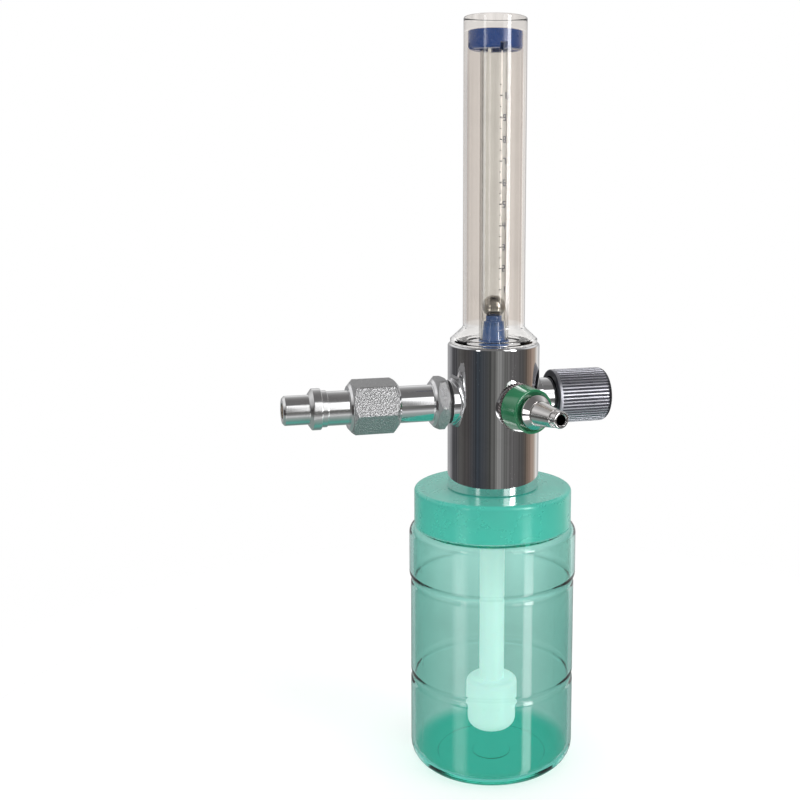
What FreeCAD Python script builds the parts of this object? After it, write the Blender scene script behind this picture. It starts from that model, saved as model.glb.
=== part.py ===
"""Wall-outlet oxygen flowmeter with a needle valve, a ball float tube and a humidifier bottle.

Frame: origin at the middle of the bottle's base, +Z up along the tubes, the probe along -X and the
knob along +X. Every size is in millimetres and every angle in degrees.
"""
import FreeCAD, Part
import os
import re
import Sketcher

PARTS_FOLDER = "parts"
FUNCTIONS = {"sqrt", "sin", "cos", "tan"}
TOUCH = 0.01

# Driving dimensions: name, value, what it is
SIZES = [
    # Bottle
    ("jar_radius", 34.4, "outside of the bottle wall below the upper ring groove"),
    ("jar_band_step", 0.6, "how far the band under the shoulder stands out beyond the wall"),
    ("jar_wall", 1.7, "thickness of the bottle wall"),
    ("jar_floor", 2.6, "thickness of the bottle floor"),
    ("jar_corner_radius", 8.0, "rounding between the wall and the base"),
    ("jar_recess_depth", 0.6, "depth of the ring recess under the base"),
    ("jar_recess_inner", 8.0, "inner radius of the ring recess"),
    ("jar_foot_land", 3.4, "width of the flat foot ring round the recess"),
    ("shoulder_height", 102.4, "height of the bottle's shoulder above the base"),
    ("shoulder_rounding", 3.6, "rounding of the shoulder"),
    ("low_groove_height", 37.3, "middle of the lower ring groove"),
    ("high_groove_height", 79.5, "middle of the upper ring groove"),
    ("groove_depth", 0.9, "depth of a ring groove"),
    ("groove_half_width", 1.8, "half the width of a ring groove"),
    ("groove_rounding", 1.4, "rounding of a ring groove's edges and floor"),
    ("shoulder_land", 1.1, "flat of the shoulder between its rounding and the neck"),
    ("neck_height", 11.5, "height of the neck above the shoulder"),
    ("jar_seal_thickness", 1.4, "thickness of the seal on the bottle's rim"),
    # Lid
    ("neck_gap", 0.5, "thread clearance between the neck and the lid"),
    ("lid_wall", 2.1, "thickness of the lid's skirt"),
    ("lid_roof", 2.7, "thickness of the lid's roof"),
    ("lid_rim_gap", 0.5, "gap between the lid's rim and the shoulder"),
    ("lid_rounding", 1.6, "rounding of the lid's upper edge"),
    ("lid_nut_gap", 8.2, "gap between the ring nut under the lid and the neck"),
    ("lid_nut_height", 9.6, "height of the ring nut"),
    ("lid_seal_thickness", 1.2, "thickness of the seal between the lid and its nut"),
    ("spanner_slot_width", 4.0, "width of a spanner slot in the ring nut"),
    ("spanner_slot_depth", 2.5, "depth of a spanner slot, both ways"),
    # Body
    ("body_radius", 19.0, "outside of the chromed body"),
    ("body_top_rounding", 1.0, "rounding of the body's upper edge"),
    ("body_foot_chamfer", 0.6, "chamfer of the body's lower edge"),
    ("port_floor", 27.5, "height of the body between the lid and the port bosses"),
    ("port_roof", 8.4, "metal between the inlet's thread and the shield's groove"),
    ("port_boss_rise", 0.4, "how far a port boss stands out beyond the body"),
    ("port_boss_radius", 9.2, "outside of a port boss"),
    ("inlet_bearing", -90.0, "direction of the inlet, from -Y towards +X"),
    ("valve_bearing", 90.0, "direction of the valve"),
    ("outlet_bearing", 13.4, "direction of the outlet"),
    ("spigot_radius", 9.5, "outside of the threaded spigot through the lid"),
    ("spigot_length", 16.5, "length of the spigot below the body"),
    ("thread_gap", 0.05, "clearance between two joined threads"),
    ("valve_passage_radius", 1.5, "gas passages on the valve side"),
    ("valve_chamber_length", 1.6, "gap between the bonnet's tail and the valve seat"),
    ("down_passage_reach", 3.6, "distance of the passage to the dip tube from the axis"),
    ("feed_passage_radius", 1.2, "gas passage from the shield to the valve chamber"),
    ("feed_passage_reach", 8.2, "distance of the feed passage from the axis"),
    ("return_passage_radius", 1.2, "gas passage from the bottle to the outlet"),
    ("return_passage_reach", 7.2, "distance of the return passage from the axis"),
    # Float tube and shield
    ("shield_radius", 12.8, "outside of the clear shield"),
    ("shield_wall", 1.6, "thickness of the shield"),
    ("shield_end", 5.4, "thickness of the shield's closed end"),
    ("shield_end_rounding", 0.8, "rounding of the shield's upper edge"),
    ("skirt_radius", 18.0, "outside of the shield's flared skirt"),
    ("skirt_rise", 6.6, "height of the flared skirt"),
    ("skirt_land", 1.8, "upright edge of the skirt"),
    ("skirt_wall", 1.9, "thickness of the skirt's wall at its foot"),
    ("skirt_floor", 1.4, "thickness of the skirt's floor"),
    ("shield_foot_radius", 14.4, "outside of the shield's threaded foot"),
    ("shield_foot_depth", 7.5, "depth of the foot in the body"),
    ("foot_seal_thickness", 1.2, "thickness of the seal under the foot"),
    ("foot_wall_gap", 0.2, "gap between the foot and the boss inside it"),
    ("tube_radius", 6.1, "outside of the float tube"),
    ("tube_length", 120.6, "length of the float tube"),
    ("tube_taper", 0.4, "how much wider the bore's radius is at the top"),
    ("tube_seat_bore", 5.1, "radius of the wider bore round the seat"),
    ("tube_seat_depth", 8.6, "height of the wider bore"),
    ("ball_radius", 4.7, "float ball"),
    ("ball_gap", 0.1, "clearance between the ball and the foot of the bore"),
    ("ball_seat_gap", 0.05, "gap between the ball and its seat"),
    ("seat_flange_radius", 6.3, "flange of the ball seat"),
    ("seat_flange_thickness", 0.8, "thickness of that flange"),
    ("seat_base_radius", 4.85, "foot of the seat's bell"),
    ("seat_shoulder_radius", 4.15, "shoulder of the seat's bell"),
    ("seat_shoulder_height", 8.4, "height of the bell's shoulder above the flange"),
    ("seat_neck_radius", 3.3, "neck that the ball rests on"),
    ("seat_neck_height", 10.5, "height of the neck above the flange"),
    ("seat_dish_radius", 2.9, "rim of the dish under the ball"),
    ("seat_dish_depth", 2.8, "depth of that dish"),
    ("seat_bore_radius", 1.2, "gas hole through the seat"),
    ("seat_stem_radius", 2.6, "stem of the seat in the body"),
    ("seat_stem_length", 4.5, "length of that stem"),
    ("plug_gap", 0.3, "clearance between the plug and the shield"),
    ("plug_height", 7.3, "height of the top plug"),
    ("plug_socket_depth", 3.4, "depth of the plug's socket for the tube"),
    ("plug_end_gap", 0.2, "gap between the plug and the shield's end"),
    ("plug_recess_radius", 4.4, "recess over the end of the tube"),
    ("plug_recess_depth", 1.6, "depth of that recess"),
    ("plug_slot_width", 3.0, "width of a gas slot in the plug"),
    ("plug_slot_depth", 2.2, "height of a gas slot in the plug's lower face"),
    ("plug_channel_depth", 1.2, "depth of the channels that lead past the tube"),
    ("plug_rounding", 1.2, "rounding of the plug's lower edge"),
    # Inlet
    ("inlet_seal_thickness", 0.6, "washer between the body and the nipple"),
    ("inlet_seal_radius", 8.8, "outside of that washer"),
    ("inlet_thread_radius", 6.8, "nipple's thread in the body"),
    ("inlet_thread_length", 8.0, "length of that thread"),
    ("nipple_flats", 20.0, "across the flats of the nipple's hexagon"),
    ("nipple_turn", 27.0, "turn of that hexagon from a corner straight up"),
    ("nipple_hex_length", 7.0, "length of that hexagon"),
    ("pipe_radius", 7.5, "outside of the nipple's pipe"),
    ("pipe_run", 14.0, "length of pipe between the two hexagons"),
    ("pipe_in_nut", 10.0, "length of pipe inside the union nut"),
    ("inlet_bore_radius", 2.2, "gas bore of the nipple and the probe"),
    ("nut_flats", 20.0, "across the flats of the union nut"),
    ("nut_turn", 21.0, "turn of the union nut from a corner straight up"),
    ("nut_length", 20.2, "length of the union nut"),
    ("nut_pipe_gap", 0.05, "clearance between the nut and what it holds"),
    ("union_washer_thickness", 1.2, "washer between the pipe and the probe"),
    ("hex_crown", 1.3, "how far the end face of a hexagon lies inside its flats"),
    ("hex_slope", 0.9, "slope of the crowned ends of a hexagon"),
    ("probe_collar_radius", 7.4, "collar that the union nut pulls on"),
    ("probe_collar_length", 3.4, "length of that collar"),
    ("probe_shaft_radius", 6.9, "shaft of the probe"),
    ("probe_shaft_length", 16.6, "length of the shaft beyond the collar"),
    ("probe_ring_radius", 7.35, "raised ring behind the locking flange"),
    ("probe_ring_length", 2.4, "length of that ring"),
    ("probe_flange_radius", 8.3, "locking flange of the probe"),
    ("probe_flange_length", 3.4, "width of the flange's crest"),
    ("probe_bevel_length", 1.3, "length of the flange's front bevel"),
    ("probe_tip_radius", 5.9, "tip of the probe"),
    ("probe_tip_length", 10.3, "length of the tip beyond the bevel"),
    ("probe_tip_chamfer", 0.9, "chamfer at the end of the tip"),
    ("filter_radius", 3.2, "filter in the mouth of the probe"),
    ("filter_length", 5.0, "length of that filter"),
    ("filter_recess", 1.2, "how deep the filter sits in the mouth"),
    # Outlet
    ("outlet_washer_thickness", 1.5, "washer behind the green collar"),
    ("outlet_washer_radius", 9.8, "outside of that washer"),
    ("collar_radius", 9.4, "outside of the green collar at the washer"),
    ("collar_front_radius", 8.9, "outside of the green collar at its front"),
    ("collar_length", 9.6, "length of the green collar"),
    ("collar_rounding", 0.6, "rounding of the collar's front edge"),
    ("collar_recess_radius", 7.7, "recess in the front of the collar"),
    ("collar_recess_depth", 0.8, "depth of that recess"),
    ("nozzle_thread_radius", 5.5, "nozzle's thread through the collar"),
    ("nozzle_thread_length", 8.4, "length of thread in the body"),
    ("nozzle_flange_radius", 6.9, "flange of the nozzle"),
    ("nozzle_flange_length", 2.7, "length of that flange"),
    ("nozzle_dome_length", 2.4, "length of the dome in front of the flange"),
    ("barb_root_radius", 5.0, "thick end of the barb"),
    ("barb_end_radius", 3.6, "thin end of the barb"),
    ("barb_length", 10.0, "length of the barb"),
    ("barb_neck_radius", 4.5, "groove between the dome and the barb"),
    ("barb_neck_length", 0.8, "width of that groove"),
    ("barb_tip_radius", 3.4, "ring at the mouth of the nozzle"),
    ("barb_tip_length", 3.7, "length of that ring"),
    ("outlet_bore_radius", 2.05, "bore of the nozzle"),
    # Valve
    ("bonnet_radius", 8.1, "outside of the valve bonnet"),
    ("bonnet_length", 6.8, "length of the bonnet outside the body"),
    ("bonnet_thread_radius", 6.5, "bonnet's thread in the body"),
    ("bonnet_thread_length", 10.4, "length of that thread"),
    ("bonnet_neck_radius", 5.0, "neck of the bonnet inside the knob"),
    ("bonnet_neck_length", 4.6, "length of that neck"),
    ("spindle_radius", 2.5, "spindle of the needle valve"),
    ("spindle_gap", 0.06, "running clearance of the spindle"),
    ("needle_length", 3.4, "length of the needle"),
    ("needle_tip_radius", 0.5, "radius at the needle's tip"),
    ("needle_shoulder_gap", 0.3, "gap between the needle's shoulder and the valve seat"),
    ("spindle_seal_place", 4.2, "distance of the spindle's ring from the bonnet's tail"),
    ("spindle_seal_section", 1.0, "radius of that ring's section"),
    ("seal_bore_length", 8.0, "length of the bonnet's wider bore round the ring"),
    ("knob_radius", 11.35, "outside of the knob"),
    ("knob_start", 25.3, "distance of the knob's back from the body's axis"),
    ("knob_length", 24.6, "length of the knob"),
    ("knob_back_chamfer", 0.8, "chamfer at the back of the knob"),
    ("knob_front_rounding", 3.0, "rounding at the front of the knob"),
    ("knob_band", 1.7, "plain band behind the flutes"),
    ("knob_flute_length", 19.2, "length of the flutes"),
    ("knob_flute_radius", 0.42, "radius of one flute"),
    ("knob_flute_count", 48, "number of flutes"),
    ("knob_wall", 2.7, "wall of the knob round the bonnet"),
    ("knob_cavity_depth", 8.2, "depth of the hollow behind the knob"),
    ("knob_screw_radius", 3.0, "head of the knob's screw"),
    ("knob_screw_head", 2.6, "height of that head"),
    ("knob_screw_recess", 0.8, "how deep the head sits"),
    ("screw_socket_flats", 2.5, "across the flats of the screw's socket"),
    ("screw_socket_turn", 10.0, "turn of that socket"),
    ("screw_socket_depth", 1.4, "depth of that socket"),
    ("screw_shank_radius", 1.5, "shank of the knob's screw"),
    ("screw_shank_length", 5.0, "length of the shank in the spindle"),
    ("spindle_end_wall", 3.0, "knob material between the spindle's end and the screw's head"),
    # Bubbler
    ("dip_tube_radius", 5.25, "outside of the dip tube"),
    ("dip_tube_wall", 1.2, "thickness of the dip tube"),
    ("dip_tube_in_spigot", 10.0, "length of the dip tube in the spigot"),
    ("bubbler_cap_top", 34.3, "height of the bubbler's top above the base"),
    ("bubbler_cap_radius", 10.8, "outside of the bubbler's cap"),
    ("bubbler_cap_length", 11.0, "height of that cap"),
    ("bubbler_cap_rounding", 2.4, "rounding of the cap's shoulder"),
    ("bubbler_wall", 1.4, "thickness of the bubbler's walls"),
    ("bubbler_socket_depth", 4.0, "how deep the dip tube sits in the cap"),
    ("bubbler_cup_radius", 10.2, "outside of the bubbler's cup"),
    ("bubbler_cup_bottom", 12.4, "height of the cup's bottom above the base"),
    ("bubbler_cup_rounding", 4.4, "rounding of the cup's bottom"),
    ("bubbler_lap", 3.2, "how far the cup reaches into the cap"),
    ("bubbler_hole_radius", 0.7, "one gas hole in the cup"),
    ("bubbler_hole_count", 8, "number of gas holes"),
    ("bubbler_hole_ring", 5.4, "radius of the ring of gas holes"),
]

# Levels and distances that follow from the sizes
NECK_RADIUS = "jar_radius + jar_band_step - shoulder_rounding - shoulder_land"
NECK_BORE = f"{NECK_RADIUS} - jar_wall"
NECK_RIM = "shoulder_height + neck_height"
LID_UNDERSIDE = f"{NECK_RIM} + jar_seal_thickness"
LID_TOP = f"{LID_UNDERSIDE} + lid_roof"
LID_RIM = "shoulder_height + lid_rim_gap"
LID_BORE = f"{NECK_RADIUS} + neck_gap"
LID_RADIUS = f"{LID_BORE} + lid_wall"
LID_NUT_RADIUS = f"{NECK_BORE} - lid_nut_gap"
PORT_HEIGHT = f"{LID_TOP} + port_floor + port_boss_radius"
BODY_TOP = f"{PORT_HEIGHT} + inlet_thread_radius + port_roof + shield_foot_depth + foot_seal_thickness"
SPIGOT_FOOT = f"{LID_TOP} - spigot_length"
TUBE_FOOT = f"{BODY_TOP} + seat_flange_thickness"
TUBE_TOP = f"{TUBE_FOOT} + tube_length"
PLUG_FOOT = f"{TUBE_TOP} - plug_socket_depth"
PLUG_TOP = f"{PLUG_FOOT} + plug_height"
SHIELD_ROOF = f"{PLUG_TOP} + plug_end_gap"
SHIELD_BORE = "shield_radius - shield_wall"
SEAT_TOP = f"{TUBE_FOOT} + seat_neck_height"
BALL_LIFT = "sqrt((ball_radius + ball_seat_gap)^2 - seat_dish_radius^2)"
BALL_MIDDLE = f"{SEAT_TOP} + {BALL_LIFT}"
FLOAT_BORE = "ball_radius + ball_gap"
FOOT_BORE_FLOOR = f"{BODY_TOP} - shield_foot_depth - foot_seal_thickness"
PORT_FACE = "body_radius + port_boss_rise"
NIPPLE_START = f"{PORT_FACE} + inlet_seal_thickness"
PIPE_START = f"{NIPPLE_START} + nipple_hex_length"
NUT_START = f"{PIPE_START} + pipe_run"
PIPE_END = f"{NUT_START} + pipe_in_nut"
PROBE_START = f"{PIPE_END} + union_washer_thickness"
COLLAR_END = f"{PROBE_START} + probe_collar_length"
FLANGE_START = f"{COLLAR_END} + probe_shaft_length"
BEVEL_START = f"{FLANGE_START} + probe_flange_length"
TIP_START = f"{BEVEL_START} + probe_bevel_length"
PROBE_END = f"{TIP_START} + probe_tip_length"
GREEN_START = f"{PORT_FACE} + outlet_washer_thickness"
GREEN_END = f"{GREEN_START} + collar_length"
NOZZLE_SEAT = f"{GREEN_END} - collar_recess_depth"
DOME_START = f"{NOZZLE_SEAT} + nozzle_flange_length"
DOME_END = f"{DOME_START} + nozzle_dome_length"
BARB_START = f"{DOME_END} + barb_neck_length"
BARB_END = f"{BARB_START} + barb_length"
NOZZLE_END = f"{BARB_END} + barb_tip_length"
BONNET_END = f"{PORT_FACE} + bonnet_length"
BONNET_NECK_END = f"{BONNET_END} + bonnet_neck_length"
BONNET_TAIL = f"{PORT_FACE} - bonnet_thread_length"
VALVE_SEAT = f"{BONNET_TAIL} - valve_chamber_length"
NEEDLE_END = f"{VALVE_SEAT} + needle_shoulder_gap"
NEEDLE_TIP = f"{NEEDLE_END} - needle_length"
SEAL_PLACE = f"{BONNET_TAIL} + spindle_seal_place"
SEAL_BORE = "spindle_radius + spindle_seal_section + spindle_gap"
KNOB_END = "knob_start + knob_length"
SCREW_SEAT = f"{KNOB_END} - knob_screw_recess - knob_screw_head"
SPINDLE_END = f"{SCREW_SEAT} - spindle_end_wall"
KNOB_FLUTES = "knob_start + knob_band"
SPINDLE_BORE = "spindle_radius + spindle_gap"
CAP_FOOT = "bubbler_cap_top - bubbler_cap_length"
CUP_TOP = f"{CAP_FOOT} + bubbler_lap"
DIP_TOP = f"{SPIGOT_FOOT} + dip_tube_in_spigot"

doc = FreeCAD.newDocument("OxygenFlowmeter")
sheet = doc.addObject("Spreadsheet::Sheet", "Sizes")
for row, (alias, value, note) in enumerate(SIZES, start=1):
    sheet.set(f"A{row}", str(value))
    sheet.setAlias(f"A{row}", alias)
    sheet.set(f"B{row}", note)
doc.recompute()
ALIASES = {alias for alias, value, note in SIZES}
pieces = []


def bound(words):
    """Returns the expression with each size name pointing at its cell."""
    def cell(match):
        word = match.group(0)
        return f"Sizes.{word}" if word in ALIASES else word
    return re.sub(r"[a-z][a-z_]*[a-z]", cell, words)


def number(words):
    """Returns the expression's value for the sizes as they are now."""
    found = sheet.evalExpression(bound(words))
    return float(found)


def new_piece(label, bearing=None):
    """Makes an empty body. With a bearing its own Z axis points out along that port."""
    piece = doc.addObject("PartDesign::Body", label)
    piece.Label = label
    if bearing:
        words = f"placement(vector(0; 0; {PORT_HEIGHT}); rotation({bearing}; 0; 90))"
        piece.setExpression("Placement", bound(words))
    pieces.append(piece)
    return piece


def origin_plane(piece, role):
    """Returns one of the body's own origin planes."""
    return next(item for item in piece.Origin.OriginFeatures if item.Role == role)


def new_sketch(piece, name, role="XZ_Plane", offset=None):
    """Makes a sketch on an origin plane, moved by a placement expression where one is given."""
    sketch = piece.newObject("Sketcher::SketchObject", name)
    sketch.AttachmentSupport = [(origin_plane(piece, role), "")]
    sketch.MapMode = "FlatFace"
    if offset:
        sketch.setExpression("AttachmentOffset", bound(offset))
    return sketch


def pin_point(sketch, geometry, end, across, up):
    """Ties one point of a sketch to its distances from the sketch's origin."""
    axes = (("DistanceX", across, -2), ("DistanceY", up, -1))
    for kind, words, axis in axes:
        value = number(words)
        if words == "0":
            sketch.addConstraint(Sketcher.Constraint("PointOnObject", geometry, end, axis))
            continue
        made = sketch.addConstraint(Sketcher.Constraint(kind, -1, 1, geometry, end, value))
        sketch.setExpression(f"Constraints[{made}]", bound(words))


def outline(sketch, corners):
    """Draws a closed outline through the corners, each given as two size expressions."""
    spots = [FreeCAD.Vector(number(across), number(up), 0) for across, up in corners]
    count = len(spots)
    first = sketch.GeometryCount
    for index in range(count):
        line = Part.LineSegment(spots[index], spots[(index + 1) % count])
        sketch.addGeometry(line, False)
    for index in range(count):
        here = first + index
        after = first + (index + 1) % count
        sketch.addConstraint(Sketcher.Constraint("Coincident", here, 2, after, 1))
    for index, (across, up) in enumerate(corners):
        pin_point(sketch, first + index, 1, across, up)


def ring(sketch, radius, across="0", up="0"):
    """Draws a circle of the given radius about the given point."""
    middle = FreeCAD.Vector(number(across), number(up), 0)
    upright = FreeCAD.Vector(0, 0, 1)
    index = sketch.addGeometry(Part.Circle(middle, upright, number(radius)), False)
    pin_point(sketch, index, 3, across, up)
    made = sketch.addConstraint(Sketcher.Constraint("Radius", index, number(radius)))
    sketch.setExpression(f"Constraints[{made}]", bound(radius))


def turn(piece, name, corners, kind="PartDesign::Revolution"):
    """Turns an outline of (radius, height) corners about the body's Z axis."""
    sketch = new_sketch(piece, f"{name}_outline")
    outline(sketch, corners)
    made = piece.newObject(kind, name)
    made.Profile = sketch
    made.ReferenceAxis = (sketch, ["V_Axis"])
    made.Angle = 360
    doc.recompute()
    return made


def groove(piece, name, corners):
    """Turns an outline about the body's Z axis and cuts it away."""
    before = piece.Shape.Volume
    made = turn(piece, name, corners, "PartDesign::Groove")
    if piece.Shape.Volume >= before:
        raise RuntimeError(f"{name} cuts nothing")
    return made


def lift(height):
    """Returns the offset that raises a sketch along its normal."""
    return f"placement(vector(0; 0; {height}); rotation(0; 0; 0))"


def pad(piece, name, sketch, length):
    """Raises a sketch into a solid along its normal."""
    made = piece.newObject("PartDesign::Pad", name)
    made.Profile = sketch
    made.setExpression("Length", bound(length))
    doc.recompute()
    return made


def pocket(piece, name, sketch, depth, along_normal=False):
    """Cuts a sketch into the solid, against its normal unless told otherwise."""
    before = piece.Shape.Volume
    made = piece.newObject("PartDesign::Pocket", name)
    made.Profile = sketch
    made.Reversed = along_normal
    made.setExpression("Length", bound(depth))
    doc.recompute()
    if piece.Shape.Volume >= before:
        raise RuntimeError(f"{name} cuts nothing")
    return made


def repeat(piece, name, feature, count):
    """Repeats a feature round the body's Z axis."""
    made = piece.newObject("PartDesign::PolarPattern", name)
    made.Originals = [feature]
    made.Axis = (origin_plane(piece, "Z_Axis"), [""])
    made.Angle = 360
    made.setExpression("Occurrences", bound(count))
    piece.Tip = made
    doc.recompute()
    return made


def round_edges(piece, circles):
    """Lists the edges of the body's tip that are circles of a radius at a height."""
    wanted = [(number(radius), number(height)) for radius, height in circles]
    found = []
    for index, edge in enumerate(piece.Tip.Shape.Edges, start=1):
        curve = edge.Curve
        if curve.TypeId != "Part::GeomCircle":
            continue
        place = (curve.Radius, curve.Center.z)
        near = [abs(place[0] - r) < TOUCH and abs(place[1] - z) < TOUCH for r, z in wanted]
        if any(near):
            found.append(f"Edge{index}")
    if len(found) < len(wanted):
        raise RuntimeError(f"{piece.Label}: {len(found)} of {len(wanted)} edges to ease found")
    return found


def ease(piece, name, circles, size, kind="Fillet"):
    """Rounds or chamfers the circular edges at the given radii and heights."""
    edges = round_edges(piece, circles)
    tip = piece.Tip
    made = piece.newObject(f"PartDesign::{kind}", name)
    made.Base = (tip, edges)
    made.setExpression("Radius" if kind == "Fillet" else "Size", bound(size))
    doc.recompute()
    return made


def hexagon(sketch, flats, turned):
    """Draws a hexagon turned by an angle from a corner straight up."""
    corner = f"({flats}) / sqrt(3)"
    outline(sketch, [(f"{corner} * cos({turned} + {angle})", f"{corner} * sin({turned} + {angle})")
                     for angle in range(30, 390, 60)])


def crown(piece, name, flats, level, inward):
    """Turns away the corners of a hexagon at one end, as a machinist crowns a nut."""
    flat = f"({flats}) / 2 - hex_crown"
    outer = f"({flats}) / sqrt(3) + hex_crown"
    drop = f"({outer} - ({flat})) * hex_slope"
    edge = f"{level} {inward} {drop}"
    past = f"{level} {'+' if inward == '-' else '-'} hex_crown"
    groove(piece, name, [(flat, level), (flat, past), (outer, past), (outer, edge)])


def port_offset(bearing, reach):
    """Returns the offset of a sketch on the XZ plane that faces out of a port at a reach."""
    return (f"placement(vector(({reach}) * sin({bearing}); 0; ({reach}) * cos({bearing}));"
            f" rotation(0; {bearing}; 0))")


def port_circle(piece, name, bearing, reach, radius):
    """Draws a circle about a port's axis, facing out of the port."""
    sketch = new_sketch(piece, name, "XZ_Plane", port_offset(bearing, reach))
    ring(sketch, radius, up=PORT_HEIGHT)
    return sketch


def build_body():
    """The chromed body: a turned bar with three ports, a foot groove and a spigot."""
    piece = new_piece("flow_body")
    boss = f"{SHIELD_BORE} - foot_wall_gap"
    foot_bore = "shield_foot_radius + thread_gap"
    dip_bore = "dip_tube_radius + thread_gap"
    turn(piece, "bar", [
        ("0", SPIGOT_FOOT), ("spigot_radius", SPIGOT_FOOT), ("spigot_radius", LID_TOP),
        ("body_radius", LID_TOP), ("body_radius", BODY_TOP), (foot_bore, BODY_TOP),
        (foot_bore, FOOT_BORE_FLOOR), (boss, FOOT_BORE_FLOOR), (boss, BODY_TOP), ("0", BODY_TOP)])
    ease(piece, "top_edge", [("body_radius", BODY_TOP)], "body_top_rounding")
    ease(piece, "foot_edge", [("body_radius", LID_TOP)], "body_foot_chamfer", "Chamfer")
    for name in ("inlet", "valve", "outlet"):
        sketch = port_circle(piece, f"{name}_boss_circle", f"{name}_bearing", "0",
                             "port_boss_radius")
        pad(piece, f"{name}_boss", sketch, PORT_FACE)
    ports = [("inlet", "inlet_thread_radius", "inlet_thread_length - inlet_seal_thickness"),
             ("valve", "bonnet_thread_radius", "bonnet_thread_length + valve_chamber_length"),
             ("outlet", "nozzle_thread_radius", "nozzle_thread_length")]
    for name, radius, depth in ports:
        mouth = port_circle(piece, f"{name}_thread_circle", f"{name}_bearing", PORT_FACE,
                            f"{radius} + thread_gap")
        pocket(piece, f"{name}_thread", mouth, depth)
    valve = port_circle(piece, "valve_seat_circle", "valve_bearing", PORT_FACE,
                        "valve_passage_radius")
    pocket(piece, "valve_seat", valve, f"{PORT_FACE} - down_passage_reach")
    inlet = port_circle(piece, "inlet_passage_circle", "inlet_bearing", PORT_FACE,
                        "inlet_bore_radius")
    pocket(piece, "inlet_passage", inlet, PORT_FACE)
    outlet = port_circle(piece, "outlet_passage_circle", "outlet_bearing", PORT_FACE,
                         "outlet_bore_radius")
    pocket(piece, "outlet_passage", outlet, f"{PORT_FACE} - return_passage_reach + outlet_bore_radius")
    up = new_sketch(piece, "seat_stem_circle", "XY_Plane", lift(BODY_TOP))
    ring(up, "seat_stem_radius + thread_gap")
    pocket(piece, "seat_stem_bore", up, "seat_stem_length")
    rise = new_sketch(piece, "rise_circle", "XY_Plane", lift(BODY_TOP))
    ring(rise, "valve_passage_radius")
    pocket(piece, "rise_passage", rise, f"{BODY_TOP} - ({PORT_HEIGHT})")
    dip = new_sketch(piece, "dip_circle", "XY_Plane", lift(SPIGOT_FOOT))
    ring(dip, dip_bore)
    pocket(piece, "dip_socket", dip, "dip_tube_in_spigot", along_normal=True)
    down = new_sketch(piece, "down_circle", "XY_Plane", lift(SPIGOT_FOOT))
    ring(down, "valve_passage_radius", across="down_passage_reach")
    pocket(piece, "down_passage", down, f"{PORT_HEIGHT} - ({SPIGOT_FOOT})", along_normal=True)
    feed = new_sketch(piece, "feed_circle", "XY_Plane", lift(BODY_TOP))
    ring(feed, "feed_passage_radius", across="feed_passage_reach")
    pocket(piece, "feed_passage", feed, f"{BODY_TOP} - ({PORT_HEIGHT})")
    back = new_sketch(piece, "return_circle", "XY_Plane", lift(SPIGOT_FOOT))
    reach = "return_passage_reach"
    ring(back, "return_passage_radius", f"{reach} * sin(outlet_bearing)",
         f"-{reach} * cos(outlet_bearing)")
    pocket(piece, "return_passage", back, f"{PORT_HEIGHT} - ({SPIGOT_FOOT})", along_normal=True)


def build_shield():
    """The clear shield: a closed tube that flares at its foot and screws into the body."""
    piece = new_piece("shield_tube")
    foot = f"{BODY_TOP} - shield_foot_depth"
    end = f"{SHIELD_ROOF} + shield_end"
    turn(piece, "wall", [
        (SHIELD_BORE, foot), ("shield_foot_radius", foot), ("shield_foot_radius", BODY_TOP),
        ("skirt_radius", BODY_TOP), ("skirt_radius", f"{BODY_TOP} + skirt_land"),
        ("shield_radius", f"{BODY_TOP} + skirt_rise"), ("shield_radius", end), ("0", end),
        ("0", SHIELD_ROOF), (SHIELD_BORE, SHIELD_ROOF), (SHIELD_BORE, f"{BODY_TOP} + skirt_rise"),
        ("skirt_radius - skirt_wall", f"{BODY_TOP} + skirt_floor"),
        (SHIELD_BORE, f"{BODY_TOP} + skirt_floor")])
    ease(piece, "end_edge", [("shield_radius", end)], "shield_end_rounding")
    seal = new_piece("foot_gasket")
    turn(seal, "washer", [
        (SHIELD_BORE, FOOT_BORE_FLOOR), ("shield_foot_radius", FOOT_BORE_FLOOR),
        ("shield_foot_radius", foot), (SHIELD_BORE, foot)])


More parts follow.
